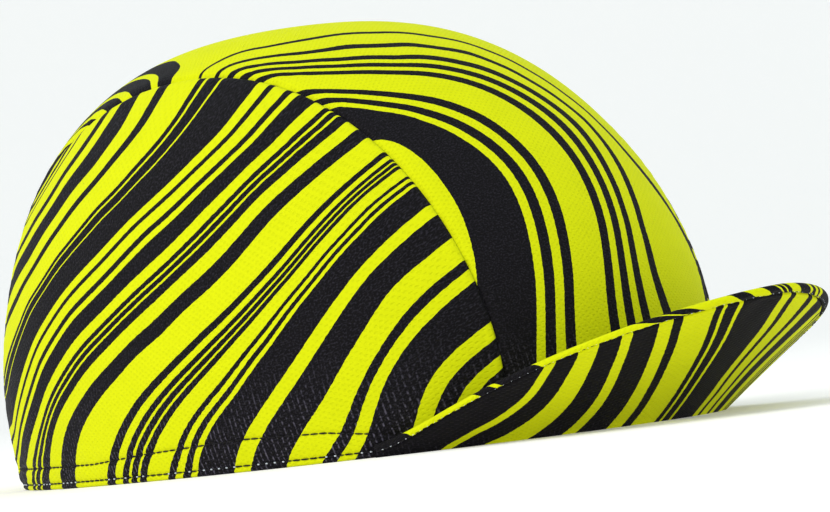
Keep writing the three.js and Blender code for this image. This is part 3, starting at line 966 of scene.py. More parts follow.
def soft_form(points):
    """Slow, slight unevenness, so that the crown isn't a perfect egg."""
    x, y, z = np.moveaxis(points, -1, 0)
    ahead, upward, beside, slow = FORM_LENGTHS
    waves = np.sin(x / ahead + FORM_STARTS[0]) * np.sin(z / upward + FORM_STARTS[1])
    waves = waves + FORM_SECOND * np.sin(y / beside + x / slow)
    return FORM_UNEVEN * waves * smoothstep(*FORM_HEIGHTS, z)


# %% [markdown]
# ## The middle panel
# It is drawn column by column: each column crosses the panel from seam to seam, and the columns go
# from the front hem over the top to the back hem. Every column is a closed loop, out along the
# outside and back along the inside, where the cloth is bare and white.

# %% Middle panel
CLOTH_WALL = 1.2
HEM_WALL = 2.0
HEM_HEIGHT = 8
HEM_FADE = 4
SEAM_GAP = 0.06
CENTRE_COLUMNS = 190
CENTRE_ROWS = 58
LINE_POINTS = 1500
OTHER_SEAM_SHIFT = 40
HEM_WAVE_SHIFT = 200


def wall_at(z):
    fade = np.clip((z - HEM_HEIGHT) / HEM_FADE, 0, 1)
    return HEM_WALL + (CLOTH_WALL - HEM_WALL) * fade


def both_sides(outer, relief):
    """Loops from the outer points with their relief, and back along the cloth's inner side."""
    out = outward(outer)
    inner = outer - out * wall_at(outer[..., 2])[..., None]
    return np.concatenate([outer + out * relief[..., None], inner[:, ::-1]], axis=1)


def there_and_back(values):
    return np.concatenate([values, values[:, ::-1]], axis=1)


middle_way = np.linspace(0, 1, LINE_POINTS)
middle_line = point_over(middle_way, np.zeros(LINE_POINTS))
middle_along = lengths_along(middle_line)
panel_length = middle_along[-1]
along = spaced([panel_length], HEM_STEPS, CENTRE_COLUMNS, HEM_STEPS[::-1])[0]
over = np.interp(along, middle_along, middle_way)
half_width = seam_distance(over) - SEAM_GAP / 2
across = spaced(2 * half_width, SEAM_STEPS, CENTRE_ROWS, SEAM_STEPS) - half_width[:, None]
centre_outer = point_over(column(over, across), across)
centre_outer[0, :, 2] = 0
centre_outer[-1, :, 2] = 0
gap = half_width[:, None] - np.abs(across)
seam_along = column(along, across)
relief = seam_relief(gap, seam_along + OTHER_SEAM_SHIFT * (across > 0)) + soft_form(centre_outer)
relief = relief + hem_relief(centre_outer, across + HEM_WAVE_SHIFT)
centre_sections = both_sides(centre_outer, relief)
centre_place = np.stack([seam_along, across], axis=-1)
centre_number = centre_print_at(centre_place)
centre_maps = {
    "print": np.stack(
        [there_and_back(centre_number), there_and_back(centre_outer[..., 2])], axis=-1
    ),
    "knit": there_and_back(centre_place[..., ::-1]),
}
middle_panel = cloth_piece(
    "middle_panel", centre_sections, centre_maps, [centre_print, inner_knit],
    inner_from=centre_outer.shape[1],
)
sew_on(middle_panel, "printed_knit", "crown_centre_panel")
print(f"the middle panel is {panel_length:.0f} mm long")

# %% [markdown]
# ## The side panels
# A side panel is a D on its back: the hem is straight, and the seam is the round edge. Columns stand
# on the hem and lean towards the seam, so they are long in the middle and vanish at both corners.
# Points are laid on each column by its true length, first as a fine line and then at the distances
# that the spacing helper gives. The left panel is the same cut, turned over.

# %% Side panels
SIDE_COLUMNS = 150
SIDE_ROWS = 52
FINE_LINE = 160
SIDE_KNIT_LEAN = 0.4


def along_lines(fine, distances):
    """Where along each fine line, from 0 to 1, the given distances lie."""
    lengths = lengths_along(fine)
    share = np.linspace(0, 1, fine.shape[1])
    return np.stack([np.interp(d, l, share) for d, l in zip(distances, lengths)])


def side_columns():
    way = np.linspace(0, 1, SIDE_COLUMNS + 1)
    seam_y = seam_distance(way) + SEAM_GAP / 2
    turns = np.linspace(hem_turn(seam_y[0], False), hem_turn(seam_y[-1], True), SIDE_COLUMNS + 1)
    foot = wall_point(turns, 0.0)[:, None]
    top = point_over(way, seam_y)[:, None]

    def column_points(up):
        line = foot + (top - foot) * up[..., None]
        return on_surface(np.zeros(3), unit(line))

    fine = column_points(np.tile(np.linspace(0, 1, FINE_LINE), (SIDE_COLUMNS + 1, 1)))
    length = lengths_along(fine)[:, -1]
    distances = spaced(length, HEM_STEPS, SIDE_ROWS, SEAM_STEPS)
    points = column_points(along_lines(fine, distances))
    points[:, 0, 2] = 0
    return points, length[:, None] - distances


side_outer, seam_gap = side_columns()
seam_line_length = lengths_along(side_outer[:, -1])
hem_line_length = lengths_along(side_outer[:, 0])
side_relief = seam_relief(seam_gap, column(seam_line_length, seam_gap))
side_relief = side_relief + soft_form(side_outer)
side_relief = side_relief + hem_relief(side_outer, column(hem_line_length, seam_gap))
side_sections = both_sides(side_outer, side_relief)
side_number = side_print_at(side_outer[..., [0, 2]])
side_up = side_outer[..., 2] + SIDE_KNIT_LEAN * side_outer[..., 1]
side_knit = np.stack([side_outer[..., 0], side_up], axis=-1)
side_maps = {
    "print": np.stack([there_and_back(side_number), there_and_back(side_outer[..., 2])], axis=-1),
    "knit": there_and_back(side_knit),
}
for side, facing in (("left", 1), ("right", -1)):
    panel = cloth_piece(
        f"side_panel_{side}", side_sections * np.array([1, facing, 1]), side_maps,
        [side_print, inner_knit], inner_from=side_outer.shape[1],
    )
    sew_on(panel, "printed_knit", f"crown_side_panel_{side}")

# %% [markdown]
# ## The peak's form
# The peak is a stiff leaf between two covers. It is sewn to the front of the hem along an arc, and
# while it is turned up it stands out from the crown: far out in the middle, steeper at its ends.
# A class gives the frame of each of its ribs: where the rib starts at the hem, which way it
# goes out, and which way is under.

# %% Ribs of the peak
CLEARANCE = 0.35
PEAK_DEPTH = 51.8
PEAK_END_DEPTH = 2.5
PEAK_HALF_SPAN = math.radians(47.5)
PEAK_FLARE_MIDDLE = math.radians(56)
PEAK_FLARE_END = math.radians(44.5)
PEAK_OUTLINE_SIDE = 1.7
PEAK_OUTLINE_END = 1.45
COVER_WALL = 1.05
EDGE_LIP = 3.4
EDGE_LIP_SHARE = 0.25
LIP_AT = np.array([-80.0, -45, -28, -18, -8, 15, 32, 50])
LIP_WIDTH = np.array([1.2, 1.3, 1.4, 2.2, 2.7, 2.8, 1.8, 1.0])
EDGE_THIN = 0.9
EDGE_THIN_FROM = 7
PEAK_HALF_LENGTH = 79
ROOT_SHARE = 0.3
PEAK_WALL = COVER_WALL + CLEARANCE + COVER_WALL
PEAK_RIBS = 190


class PeakRibs:
    """The ribs at places along the peak, -1 at its right end and 1 at its left end."""

    def __init__(self, places):
        away = np.abs(places)
        flare = PEAK_FLARE_MIDDLE + (PEAK_FLARE_END - PEAK_FLARE_MIDDLE) * away**2
        fall = (1 - away**PEAK_OUTLINE_SIDE) ** PEAK_OUTLINE_END
        polar = places * PEAK_HALF_SPAN
        self.turn = np.arctan2(CROWN_FRONT * np.sin(polar), CROWN_HALF_WIDTH * np.cos(polar))
        self.level = outward(wall_point(self.turn, 0.0))
        self.depth = PEAK_END_DEPTH + (PEAK_DEPTH - PEAK_END_DEPTH) * fall
        lip = np.interp(places * PEAK_HALF_LENGTH, LIP_AT, LIP_WIDTH)
        self.lip = np.minimum(lip, EDGE_LIP_SHARE * self.depth)
        self.seat = PEAK_WALL * np.sin(flare)
        self.root = self.wall(self.seat)
        up = np.array([0, 0, 1])
        sine, cosine = np.sin(flare)[:, None], np.cos(flare)[:, None]
        self.out = self.level * sine + up * cosine
        self.under = self.level * cosine - up * sine

    def wall(self, z):
        return wall_point(self.turn, z) + self.level * CLEARANCE

    def reach(self, s, k):
        """Points s out from the crown and k below the upper face, a row of them for each rib."""
        s, k = np.broadcast_arrays(s, k)
        root, out, under = self.root[:, None], self.out[:, None], self.under[:, None]
        return root + out * s[..., None] + under * k[..., None]


half_ribs = np.linspace(0, 1, PEAK_RIBS // 2 + 1)
rib_places = np.concatenate([-half_ribs[:0:-1], half_ribs])
ribs = PeakRibs(rib_places)
root_along = lengths_along(ribs.root)
root_along = root_along - root_along[len(half_ribs) - 1]
print(f"the peak's root is {2 * root_along[-1]:.0f} mm long")

# %% [markdown]
# ## The under cover
# This is the face that the photo shows best. Its loop goes from the hem out to the lip's seam, rolls
# in there, and returns on the hidden side. The stripes follow their chart, and slight waves along
# the seam show where the cloth is held back by its stitches.

# %% Under cover
COVER_ROWS = 40
COVER_STEPS = [0.5] * 4
ROLL_RADIUS = 0.8
ROLL_SHARE = 0.3
COVER_WAVE = 0.3
COVER_WAVE_REACH = 5
COVER_WAVE_PITCH = 9.7
COVER_WAVE_FREE = 2
PEAK_STRETCH_SHIFT = 21


def roll_in(gap, radius):
    """How far a face has rolled in, at a distance from its folded edge."""
    inside = np.clip(radius - gap, 0, radius)
    return radius - np.sqrt(radius**2 - inside**2)


cover_end = ribs.depth - ribs.lip - SEAM_GAP
cover_out = spaced(cover_end, COVER_STEPS, COVER_ROWS, SEAM_STEPS)
edge_gap = cover_end[:, None] - cover_out
along_grid = column(root_along, cover_out)
cover_wave = COVER_WAVE * np.exp(-edge_gap / COVER_WAVE_REACH) * pucker(along_grid, COVER_WAVE_PITCH)
cover_wave = cover_wave * np.clip(edge_gap / COVER_WAVE_FREE, 0, 1)
radius_here = np.minimum(ROLL_RADIUS, ROLL_SHARE * cover_end)[:, None]
under_face = ribs.reach(cover_out, PEAK_WALL - roll_in(edge_gap, radius_here) + cover_wave)
hidden_face = ribs.reach(cover_out[:, 1:], PEAK_WALL - COVER_WALL)
foot_low = ribs.wall(0.0)[:, None]
foot_high = ribs.wall(ROOT_SHARE * ribs.seat)[:, None]
cover_sections = np.concatenate(
    [foot_low, under_face, hidden_face[:, ::-1], foot_high], axis=1
)
cover_place = np.stack([along_grid, cover_out], axis=-1)
cover_number = peak_print_at(cover_place)


def cover_loop(values):
    """Values on the under face, carried on round the foot and the hidden side."""
    return np.concatenate([values[:, :1], values, values[:, :0:-1], values[:, :1]], axis=1)


cover_maps = {
    "print": np.stack(
        [cover_loop(cover_number), cover_loop(cover_out + PEAK_STRETCH_SHIFT)], axis=-1
    ),
    "knit": cover_loop(cover_place),
}
under_cover = cloth_piece("peak_under_side", cover_sections, cover_maps, [peak_print])
sew_on(under_cover, "printed_peak", "peak_under_cover")

# %% [markdown]
# ## The upper cover and its rolled edge
# The upper cover is one cloth that lies on the top of the peak, goes round its edge and is folded
# under as a narrow lip. Its loop is a row of named stretches: the top face, a half circle round the
# tip, the lip, and the hidden way back. The stiff leaf inside ends before the edge, so the peak gets
# thinner there. The stripes run slantwise over the fold, most of all on the photo's side.

# %% Upper cover
TOP_ROWS = 34
TIP_STEPS = 10
LIP_STEPS = 6
TIP_SHARE = 0.9
BACK_STEPS = 6
LIP_SWELL = 0.28
LIP_ROLL_SHARE = 0.45
LIP_WAVE = 0.15
LIP_WAVE_PITCH = 5.3
UNSTRETCHED = 40
SLANT_AT = np.array([-34.0, -25, -19, -13])
EDGE_SLANT = np.array([0.9, 2.1, 2.1, 0.9])


def upper_cover_sections():
    lip_start = ribs.depth - ribs.lip
    thin = EDGE_THIN * np.clip(ribs.depth / EDGE_THIN_FROM - 0.5, 0, 1)[:, None]
    half_edge = (PEAK_WALL - thin) / 2
    tip_reach = np.minimum(half_edge[:, 0], TIP_SHARE * ribs.lip)
    top_out = (ribs.depth - tip_reach)[:, None] * np.linspace(0, 1, TOP_ROWS + 1)[None, 1:]
    to_edge = top_out[:, -1:] - top_out
    top_face = ribs.reach(top_out, thin * (1 - smoothstep(0, EDGE_THIN_FROM, to_edge)))
    angle = np.linspace(0, math.pi, TIP_STEPS + 1)[None, 1:]
    tip_out = ribs.depth[:, None] - tip_reach[:, None] * (1 - np.sin(angle))
    swell = LIP_SWELL * np.clip(ribs.lip / EDGE_LIP, 0, 1)[:, None]
    tip = ribs.reach(tip_out, thin + (half_edge + swell / 2) * (1 - np.cos(angle)))
    share = np.linspace(0, 1, LIP_STEPS + 1)[None, 1:]
    lip_out = (ribs.depth - tip_reach)[:, None] * (1 - share) + lip_start[:, None] * share
    lip_radius = np.minimum(ROLL_RADIUS, LIP_ROLL_SHARE * ribs.lip)[:, None]
    gap_here = lip_out - lip_start[:, None]
    lip_wave = LIP_WAVE * pucker(column(root_along, lip_out), LIP_WAVE_PITCH)
    lip_wave = lip_wave * np.sin(math.pi * share)
    lip_low = PEAK_WALL + swell * (1 - share) + lip_wave - roll_in(gap_here, lip_radius)
    lip_face = ribs.reach(lip_out, lip_low)
    back_out = np.linspace(1, 0, BACK_STEPS + 1)[None, :-1] * lip_start[:, None]
    back = ribs.reach(back_out, COVER_WALL + 0 * back_out)
    foot = ribs.wall(ROOT_SHARE * ribs.seat + CLEARANCE)[:, None]
    start = ribs.wall(ribs.seat)[:, None]
    return np.concatenate([start, top_face, tip, lip_face, back, foot], axis=1)


top_sections = upper_cover_sections()
profile_length = lengths_along(top_sections)
along_top = column(root_along, profile_length)
tip_at = profile_length[:, TOP_ROWS + TIP_STEPS // 2][:, None]
edge_slant = np.interp(root_along, SLANT_AT, EDGE_SLANT)[:, None]
top_number = along_top + edge_slant * (tip_at - profile_length)
top_maps = {
    "print": np.stack([top_number, np.full_like(top_number, UNSTRETCHED)], axis=-1),
    "knit": np.stack([along_top, profile_length], axis=-1),
}
upper_cover = cloth_piece(
    "peak_upper_side", top_sections, top_maps, [edge_print], strip_caps=False
)
sew_on(upper_cover, "printed_edge", "peak_top_cover")

# %% [markdown]
# ## The sweatband
# The band is a white tape that runs all the way round inside the hem. Its lower part is folded over,
# so it is thicker there, and a row of stitches above the fold pulls a shallow groove. It is one
# cross-section carried round the crown, with its corners rounded by a few extra points.

# %% Sweatband
BAND_OUTER_DEPTH = HEM_WALL + CLEARANCE
BAND_WALL = 1.25
BAND_FOLD = 0.35
BAND_FOLD_HEIGHT = 6
BAND_ROUND = 0.55
FOLD_BULGE = 0.12
GROOVE_IN = 0.25
GROOVE_UP = 0.6
SWELL_OUT = 0.05
SWELL_UP = 2.2
BAND_WAVE = 0.12
BAND_WAVE_PITCH = 11.0
BAND_WAVE_FROM = 7
BAND_SECTIONS = 300
CORNER_STEPS = 4


def rounded(corners, radius):
    """A closed outline of (depth, z) corners with each corner cut to a small arc."""
    points = []
    count = len(corners)
    for k in range(count):
        before, corner, after = (np.array(corners[(k + j) % count], float) for j in (-1, 0, 1))
        to_before, to_after = unit(before - corner), unit(after - corner)
        cut = min(radius, np.linalg.norm(before - corner) / 2, np.linalg.norm(after - corner) / 2)
        for t in np.linspace(0, 1, CORNER_STEPS):
            start, end = corner + to_before * cut, corner + to_after * cut
            points.append((1 - t) ** 2 * start + 2 * t * (1 - t) * corner + t**2 * end)
    return np.array(points)


def inside_band(turns, outline, wave):
    """Sections of a band whose outline gives each corner's depth inside the crown and height."""
    depth, z = outline[None, :, 0], outline[None, :, 1]
    wall = wall_point(turns[:, None] + 0 * z, z + 0 * turns[:, None])
    return wall - outward(wall) * (depth + wave)[..., None]


band_inner = BAND_OUTER_DEPTH + BAND_WALL
fold_inner = band_inner + BAND_FOLD
band_outline = rounded(
    [
        (BAND_OUTER_DEPTH, 0), (fold_inner, 0), (fold_inner + FOLD_BULGE, BAND_FOLD_HEIGHT / 2),
        (fold_inner, BAND_FOLD_HEIGHT), (band_inner - GROOVE_IN, BAND_FOLD_HEIGHT + GROOVE_UP),
        (band_inner + SWELL_OUT, BAND_FOLD_HEIGHT + SWELL_UP), (band_inner, BAND_HEIGHT),
        (BAND_OUTER_DEPTH, BAND_HEIGHT),
    ],
    BAND_ROUND,
)
band_turns = np.linspace(0, 2 * math.pi, BAND_SECTIONS, endpoint=False)
band_length = lengths_along(wall_point(band_turns, 0.0))
inner_side = band_outline[:, 0] > BAND_OUTER_DEPTH + BAND_WALL / 2
waved = inner_side & (band_outline[:, 1] > BAND_WAVE_FROM)
band_wave = BAND_WAVE * pucker(band_length, BAND_WAVE_PITCH)[:, None] * waved[None, :]
band_sections = inside_band(band_turns, band_outline, band_wave)
outline_length = lengths_along(band_outline)
band_place = np.stack(
    np.broadcast_arrays(band_length[:, None], outline_length[None, :]), axis=-1
)
sweatband = cloth_piece(
    "sweatband_tape", band_sections, {"knit": band_place}, [tape_finish], ring=True
)
sew_on(sweatband, "sweatband", "sweatband")

# %% [markdown]
# ## The elastic
# A short ribbed elastic is sewn on the sweatband at the back, low near the hem. It draws the cap in
# behind. Real elastic of this kind is a flat tape with ridges along it, so its outline is a row of
# small arcs instead of a rectangle.

# %% Elastic
ELASTIC_HEIGHT = 3.8
ELASTIC_LIFT = 1.8
ELASTIC_WALL = 1.0
ELASTIC_REACH = 0.92
ELASTIC_RIBS = 4
RIB_POINTS = 8
RIB_VALLEY = 0.72
GATHER_HEIGHT = 0.1
GATHER_PITCH = 3.1
ELASTIC_SECTIONS = 120

rib_share = np.linspace(0, 1, RIB_POINTS * ELASTIC_RIBS + 1)
rib_arcs = np.abs(np.sin(math.pi * ELASTIC_RIBS * rib_share))
rib_depth = ELASTIC_WALL * (RIB_VALLEY + (1 - RIB_VALLEY) * rib_arcs)
elastic_near = fold_inner + CLEARANCE
elastic_front = np.stack(
    [elastic_near + rib_depth, ELASTIC_LIFT + ELASTIC_HEIGHT * rib_share], axis=-1
)
elastic_back = np.array([[elastic_near, ELASTIC_LIFT + ELASTIC_HEIGHT], [elastic_near, ELASTIC_LIFT]])
elastic_outline = np.concatenate([elastic_front, elastic_back])
half_turn = math.pi - hem_turn(float(seam_distance(1)) * ELASTIC_REACH, True)
elastic_turns = np.linspace(math.pi - half_turn, math.pi + half_turn, ELASTIC_SECTIONS)
elastic_length = lengths_along(wall_point(elastic_turns, 0.0))
ribbed_side = elastic_outline[:, 0] > elastic_near + GATHER_HEIGHT
gathers = GATHER_HEIGHT * pucker(elastic_length, GATHER_PITCH)[:, None] * ribbed_side
elastic_sections = inside_band(elastic_turns, elastic_outline, gathers)
elastic_place = np.stack(
    np.broadcast_arrays(elastic_length[:, None], elastic_outline[None, :, 1]), axis=-1
)
elastic = cloth_piece(
    "back_elastic_tape", elastic_sections, {"knit": elastic_place}, [elastic_finish],
    strip_caps=False,
)
sew_on(elastic, "elastic", "back_elastic")

# %% [markdown]
# ## The seam allowances
# Inside the crown, both edges of each long seam are laid to the side and bound by an overlock
# stitch. The strip is a thin flat tape of bare knit with a slightly lumpy surface, and its thread
# goes on top of it in the next step.

# %% Seam allowances
ALLOWANCE_WIDTH = 5.5
ALLOWANCE_WALL = 1.0
ALLOWANCE_CLEARANCE = 0.75
ALLOWANCE_LOWEST = BAND_HEIGHT + 3
ALLOWANCE_SECTIONS = 200
ALLOWANCE_ROWS = 7
LUMP_HEIGHT = 0.12
LUMP_PITCH = 4.2


def way_over_at(y, z, at_back):
    share = width_share(z)
    length = -CROWN_BACK if at_back else CROWN_FRONT
    x = share * length * np.sqrt(1 - (y / (share * CROWN_HALF_WIDTH)) ** 2) + lean_at(z)
    return math.atan2(z, x) / math.pi


widest = CLEARANCE + ALLOWANCE_WIDTH
allowance_over = np.linspace(
    way_over_at(float(seam_distance(0)) + widest, ALLOWANCE_LOWEST, False),
    way_over_at(float(seam_distance(1)) + widest, ALLOWANCE_LOWEST, True),
    ALLOWANCE_SECTIONS,
)
row_share = np.linspace(0, 1, ALLOWANCE_ROWS)
allowance_y = (
    seam_distance(allowance_over)[:, None] + CLEARANCE + ALLOWANCE_WIDTH * row_share[None, :]
)
allowance_skin = point_over(column(allowance_over, allowance_y), allowance_y)
allowance_out = outward(allowance_skin)
allowance_along = lengths_along(allowance_skin[:, 0])
lumps = LUMP_HEIGHT * pucker(allowance_along, LUMP_PITCH)[:, None] * np.sin(math.pi * row_share)
near_depth = CLOTH_WALL + ALLOWANCE_CLEARANCE + 0 * allowance_y
far_depth = near_depth + ALLOWANCE_WALL + lumps
allowance_sections = np.concatenate(
    [
        allowance_skin - allowance_out * near_depth[..., None],
        (allowance_skin - allowance_out * far_depth[..., None])[:, ::-1],
    ],
    axis=1,
)
allowance_place = there_and_back(
    np.stack([column(allowance_along, allowance_y), allowance_y], axis=-1)
)
for side, facing in (("left", 1), ("right", -1)):
    strip = cloth_piece(
        f"bound_seam_{side}", allowance_sections * np.array([1, facing, 1]),
        {"knit": allowance_place}, [inner_knit],
    )
    sew_on(strip, "bare_knit", f"seam_allowance_{side}")

# %% [markdown]
# ## Stitches
# A sewn row is not a line: the thread comes up, lies on the cloth for a millimetre or two and goes
# down again. Each stitch is made as a short tube whose ends dive into the cloth. One function lays
# such stitches along any row of points, and another joins them in one mesh, because hundreds of
# separate objects would be slow and useless.

# %% Stitches along a path
THREAD_SIDES = 6
STITCH_RINGS = 6
ROW_START = 0.4
ARCH_ROUNDNESS = 0.6
TAPER = 0.25


def tube_faces(rings, sides, first):
    faces = []
    for ring in range(rings - 1):
        for k in range(sides):
            a, b = first + ring * sides, first + (ring + 1) * sides
            after = (k + 1) % sides
            faces.append((a + k, a + after, b + after, b + k))
    faces.append(tuple(first + k for k in reversed(range(sides))))
    faces.append(tuple(first + (rings - 1) * sides + k for k in range(sides)))
    return faces


def tube(spine, lift, radii):
    """Rings of points round a spine. lift is the direction away from the cloth at each ring."""
    forward = unit(np.gradient(spine, axis=0))
    sideways = unit(np.cross(forward, lift))
    upright = np.cross(sideways, forward)
    angle = np.linspace(0, 2 * math.pi, THREAD_SIDES, endpoint=False)
    ring = sideways[:, None] * np.cos(angle)[:, None] + upright[:, None] * np.sin(angle)[:, None]
    return spine[:, None] + ring * radii[:, None, None]


def thread_piece(name, tubes, finish, slot):
    points, faces, places = [], [], []
    for rings in tubes:
        count, sides = rings.shape[:2]
        faces += tube_faces(count, sides, sum(len(p) for p in points))
        points.append(rings.reshape(-1, 3))
        spine_length = lengths_along(rings.mean(axis=1))
        turn_share = np.linspace(0, 1, sides)
        grid = np.broadcast_arrays(spine_length[:, None], turn_share[None])
        places.append(np.stack(grid, axis=-1).reshape(-1, 2))
    knit_map = {"knit": np.concatenate(places)}
    mesh = mesh_of(name, np.concatenate(points), faces, knit_map, [finish])
    mesh.shade_smooth()
    sew_on(in_scene(name, mesh), slot)
    print(name, "has", len(tubes), "stitches")


def stitches_along(path, lift, length, gap, radius, height, start=ROW_START):
    """Stitches on a path of points, with the direction away from the cloth at each point."""
    distance = lengths_along(path)
    tubes = []
    while start + length < distance[-1]:
        share = np.linspace(0, 1, STITCH_RINGS)
        at = start + length * share
        spine = on_path(at, distance, path)
        away = unit(on_path(at, distance, lift))
        arch = height * np.sin(math.pi * share) ** ARCH_ROUNDNESS - radius
        thickness = radius * (1 - TAPER + TAPER * np.sin(math.pi * share))
        tubes.append(tube(spine + away * arch[:, None], away, thickness))
        start += length + gap
    return tubes


# %% [markdown]
# ## The two rows on the hem
# Both rows run from one end of the peak round the back to the other end. They sit in the grooves
# that the relief has ready for them. In front the peak covers the hem, so the rows stop there. The
# thread is black. Where the lower row crosses a black stripe, white points of the under thread show
# between its stitches, so each point asks the chart which stripe it lies on.

# %% Hem stitches
HEM_STITCH = 1.95
HEM_STITCH_GAP = 0.25
THREAD_RADIUS = 0.19
NEEDLE_POINT = 0.42
ROW_POINTS = 900
ROW_LOOKUP_HEIGHT = 5.0
THREAD_SUNK = 0.55 * GROOVE_DEPTH


def hem_row(height_at):
    turns = np.linspace(ribs.turn[-1], 2 * math.pi - ribs.turn[-1], ROW_POINTS)
    z = height_at(wall_point(turns, ROW_LOOKUP_HEIGHT)[:, 0])
    points = wall_point(turns, z)
    away = outward(points)
    return points - away * THREAD_SUNK, away


def lower_row(x):
    return np.full_like(x, LOWER_ROW)


def on_black(point):
    """Whether the hem is printed black at a point: there the white needle thread shows."""
    x, y, z = point
    beside = abs(y) > seam_distance(1)
    place = [x, z] if beside else [panel_length - z, y]
    number_at, bands = (side_print_at, SIDE_BLACK) if beside else (centre_print_at, CENTRE_BLACK)
    number = number_at(np.array([place]))[0]
    return any(start < number < end for start, end in bands)


hem_tubes = []
for height_at in (upper_row, lower_row):
    hem_tubes += stitches_along(
        *hem_row(height_at), HEM_STITCH, HEM_STITCH_GAP, radius=THREAD_RADIUS, height=0.28
    )
thread_piece("hem_stitches", hem_tubes, dark_thread, "printed_edge")
point_tubes = stitches_along(
    *hem_row(lower_row), NEEDLE_POINT, HEM_STITCH + HEM_STITCH_GAP - NEEDLE_POINT,
    radius=THREAD_RADIUS, height=0.33, start=HEM_STITCH + HEM_STITCH_GAP,
)
dark_points = [rings for rings in point_tubes if on_black(rings.mean(axis=(0, 1)))]
thread_piece("hem_needle_points", dark_points, white_thread, "bare_knit")

# %% [markdown]
# ## The row along the peak's lip
# The lip is sewn down with small stitches close to its seam. Their thread changes between light and
# dark from stitch to stitch, because the upper thread is dark and the white lower one is pulled up
# between.

# %% Lip stitches
LIP_STITCH = 1.5
LIP_STITCH_GAP = 0.7
LIP_ROW_INSET = 0.75
INSET_SHARE = 0.4


def lip_row(inset):
    out = (ribs.depth - ribs.lip + np.minimum(inset, INSET_SHARE * ribs.lip))[:, None]
    points = ribs.reach(out, PEAK_WALL + 0.0 * out)[:, 0]
    return points, ribs.under


lip_points, lip_away = lip_row(LIP_ROW_INSET)
lip_tubes = stitches_along(
    lip_points, lip_away, LIP_STITCH, LIP_STITCH_GAP, radius=0.11, height=0.2
)
thread_piece("lip_stitches", lip_tubes, dark_thread, "printed_edge")
light_tubes = stitches_along(
    lip_points, lip_away, length=0.35, gap=1.85, radius=0.09, height=0.16, start=1.97
)
thread_piece("lip_needle_points", light_tubes, white_thread, "bare_knit")

# %% [markdown]
# ## The overlock thread inside
# An overlock seam is bound by a thread that runs to and fro over the edge. It is one zigzag tube on
# each seam allowance.

# %% Overlock
ZIGZAG_PITCH = 2.1
POINTS_PER_PITCH = 4
SWING = 0.46
SWING_ROUNDNESS = 0.5
OVERLOCK_LIFT = 0.2
OVERLOCK_RADIUS = 0.16


def overlock(facing):
    """One long tube that swings over the strip and back."""
    length = allowance_along[-1]
    count = int(length / ZIGZAG_PITCH) * POINTS_PER_PITCH
    at = np.linspace(1, length - 1, count)
    wave = np.sin(2 * math.pi * at / ZIGZAG_PITCH)
    swing = 0.5 + SWING * np.sign(wave) * np.abs(wave) ** SWING_ROUNDNESS
    rows = allowance_skin - allowance_out * far_depth[..., None]
    first = on_path(at, allowance_along, rows[:, 0])
    last = on_path(at, allowance_along, rows[:, -1])
    away = on_path(at, allowance_along, -allowance_out[:, ALLOWANCE_ROWS // 2])
    spine = first + (last - first) * swing[:, None] + away * OVERLOCK_LIFT
    mirror = np.array([1, facing, 1])
    return tube(spine * mirror, away * mirror, np.full(count, OVERLOCK_RADIUS))


for side, facing in (("left", 1), ("right", -1)):
    thread_piece(f"overlock_{side}", [overlock(facing)], white_thread, "bare_knit")

# %% [markdown]
# ## The studio
# The cap lies on a pale sweep. A flat floor alone would end in a hard horizon, because the camera is
# low, so the floor is a wide shallow bowl: flat where the cap lies, and rising softly far away on
# all sides. It glows a little, which keeps it as pale as studio paper. The light is one large soft
# lamp high on the side of the crown, a weaker one in front, and a pale sky.

# %% Floor
BOWL_FLAT = 2.2
BOWL_RADIUS = 5.0
BOWL_HEIGHT = 3.2
BOWL_SPREAD = 1.3
BOWL_CURVE = 2.4
BOWL_RINGS = 40
BOWL_SIDES = 96


def studio_floor():
    share = np.linspace(0, 1, BOWL_RINGS)
    radius = BOWL_RADIUS * share**BOWL_SPREAD
    beyond = np.clip((radius - BOWL_FLAT) / (BOWL_RADIUS - BOWL_FLAT), 0, 1)
    rise = BOWL_HEIGHT * beyond**BOWL_CURVE
    work = bmesh.new()
    rings = []
    for r, z in zip(radius[1:], rise[1:]):
        angles = [2 * math.pi * k / BOWL_SIDES for k in range(BOWL_SIDES)]
        rings.append([work.verts.new((r * math.cos(a), r * math.sin(a), z)) for a in angles])
    work.faces.new(rings[0])
    for inner, outer in zip(rings, rings[1:]):
        for k in range(BOWL_SIDES):
            after = (k + 1) % BOWL_SIDES
            work.faces.new((inner[k], outer[k], outer[after], inner[after]))
    mesh = bpy.data.meshes.new("studio_floor")
    work.to_mesh(mesh)
    work.free()
    mesh.shade_smooth()
    return in_scene("studio_floor", mesh)


floor_finish, _, floor_surface = new_material("pale floor")
set_plain(floor_surface, Base_Color=(0.95, 0.92, 0.91, 1), Roughness=0.95, Specular_IOR_Level=0.1)
set_plain(floor_surface, Emission_Color=(1, 1, 0.97, 1), Emission_Strength=0.15)
floor = studio_floor()
floor.data.materials.append(floor_finish)

# %% Light
LAMP_AIM = Vector((0, 0, 0.05))
SIDE_COLOUR = (1.0, 0.95, 0.88)
FRONT_COLOUR = (0.88, 1.0, 0.92)
SKY_COLOUR = (0.89, 1.0, 1.03, 1)
SKY_STRENGTH = 0.74


def facing_back(azimuth, elevation):
    """The direction from the cap to a lamp or the camera, from its angles in degrees."""
    turn, rise = math.radians(azimuth), math.radians(elevation)
    level = math.cos(rise)
    return Vector((math.sin(turn) * level, -math.cos(turn) * level, math.sin(rise)))


def lamp(name, azimuth, elevation, distance, size, power, colour):
    data = bpy.data.lights.new(name, "AREA")
    data.shape = "DISK"
    data.size = size
    data.energy = power
    data.color = colour
    back = facing_back(azimuth, elevation)
    light = in_scene(name, data)
    light.location = LAMP_AIM + back * distance
    light.rotation_euler = back.to_track_quat("Z", "Y").to_euler()


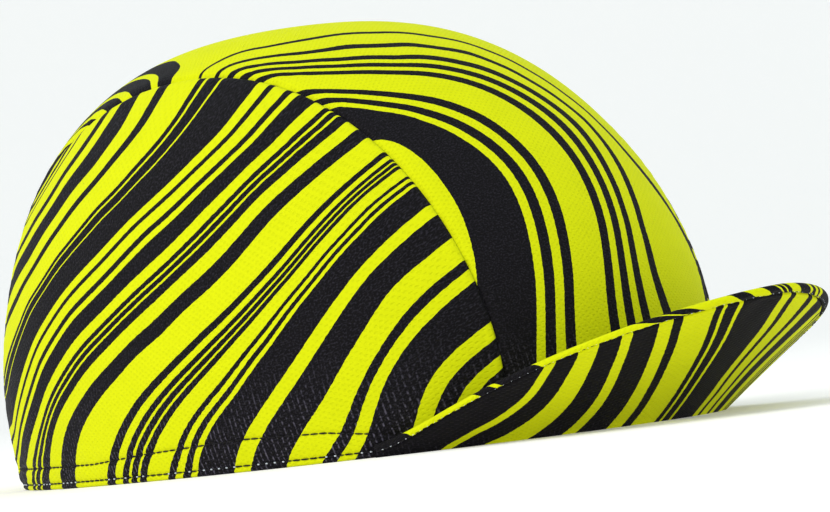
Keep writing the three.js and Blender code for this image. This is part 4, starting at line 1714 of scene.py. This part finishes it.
lamp(
    "side_lamp", azimuth=-15, elevation=48, distance=1.9, size=1.3, power=15.5, colour=SIDE_COLOUR
)
lamp(
    "front_lamp", azimuth=75, elevation=35, distance=2.4, size=1.6, power=3.4, colour=FRONT_COLOUR
)
world = bpy.data.worlds.new("pale sky")
bpy.context.scene.world = world
world.use_nodes = True
sky = world.node_tree.nodes["Background"]
sky.inputs["Color"].default_value = SKY_COLOUR
sky.inputs["Strength"].default_value = SKY_STRENGTH
bpy.context.scene.view_settings.view_transform = "Standard"

# %% [markdown]
# ## The camera
# The photo looks at the wearer's right and front through a long lens from about a metre away, and
# slightly from below, with the picture tilted so that the peak points up. Here the cap lies on its
# hem, so the camera stays just above the floor and keeps the photo's side view, lens and tilt. It
# is turned a little away from the crown's middle, so that crown and peak fill the picture.

# %% Camera
PICTURE_WIDTH = 830
SENSOR_WIDTH = 36
FOCAL_PIXELS = 3999.5
CAMERA_AZIMUTH = 42.528
CAMERA_ELEVATION = -1.5
CAMERA_ROLL = 6.758
CAMERA_DISTANCE = 1048
TARGET_HEIGHT = 51.5
AIM_RIGHT = 16.3
AIM_UP = -0.6

back = facing_back(CAMERA_AZIMUTH, CAMERA_ELEVATION)
right = Vector((0, 0, 1)).cross(back).normalized()
up = back.cross(right)
tilt = math.radians(CAMERA_ROLL)
tilted_right = right * math.cos(tilt) - up * math.sin(tilt)
tilted_up = right * math.sin(tilt) + up * math.cos(tilt)
target = Vector((crown_middle, 0, TARGET_HEIGHT))
camera_place = target + back * CAMERA_DISTANCE
aim = target + tilted_right * AIM_RIGHT + tilted_up * AIM_UP
view_back = (camera_place - aim).normalized()
view_right = tilted_up.cross(view_back).normalized()
view_up = view_back.cross(view_right)
camera_data = bpy.data.cameras.new("photo_camera")
camera_data.sensor_width = SENSOR_WIDTH
camera_data.lens = FOCAL_PIXELS / PICTURE_WIDTH * SENSOR_WIDTH
camera = in_scene("photo_camera", camera_data)
axes = Matrix((view_right, view_up, view_back)).transposed()
camera.matrix_world = Matrix.LocRotScale(camera_place * MM, axes.to_quaternion(), None)
bpy.context.scene.camera = camera
print(f"the lens is {camera_data.lens:.0f} mm, {camera.location.z * 100:.1f} cm above the floor")
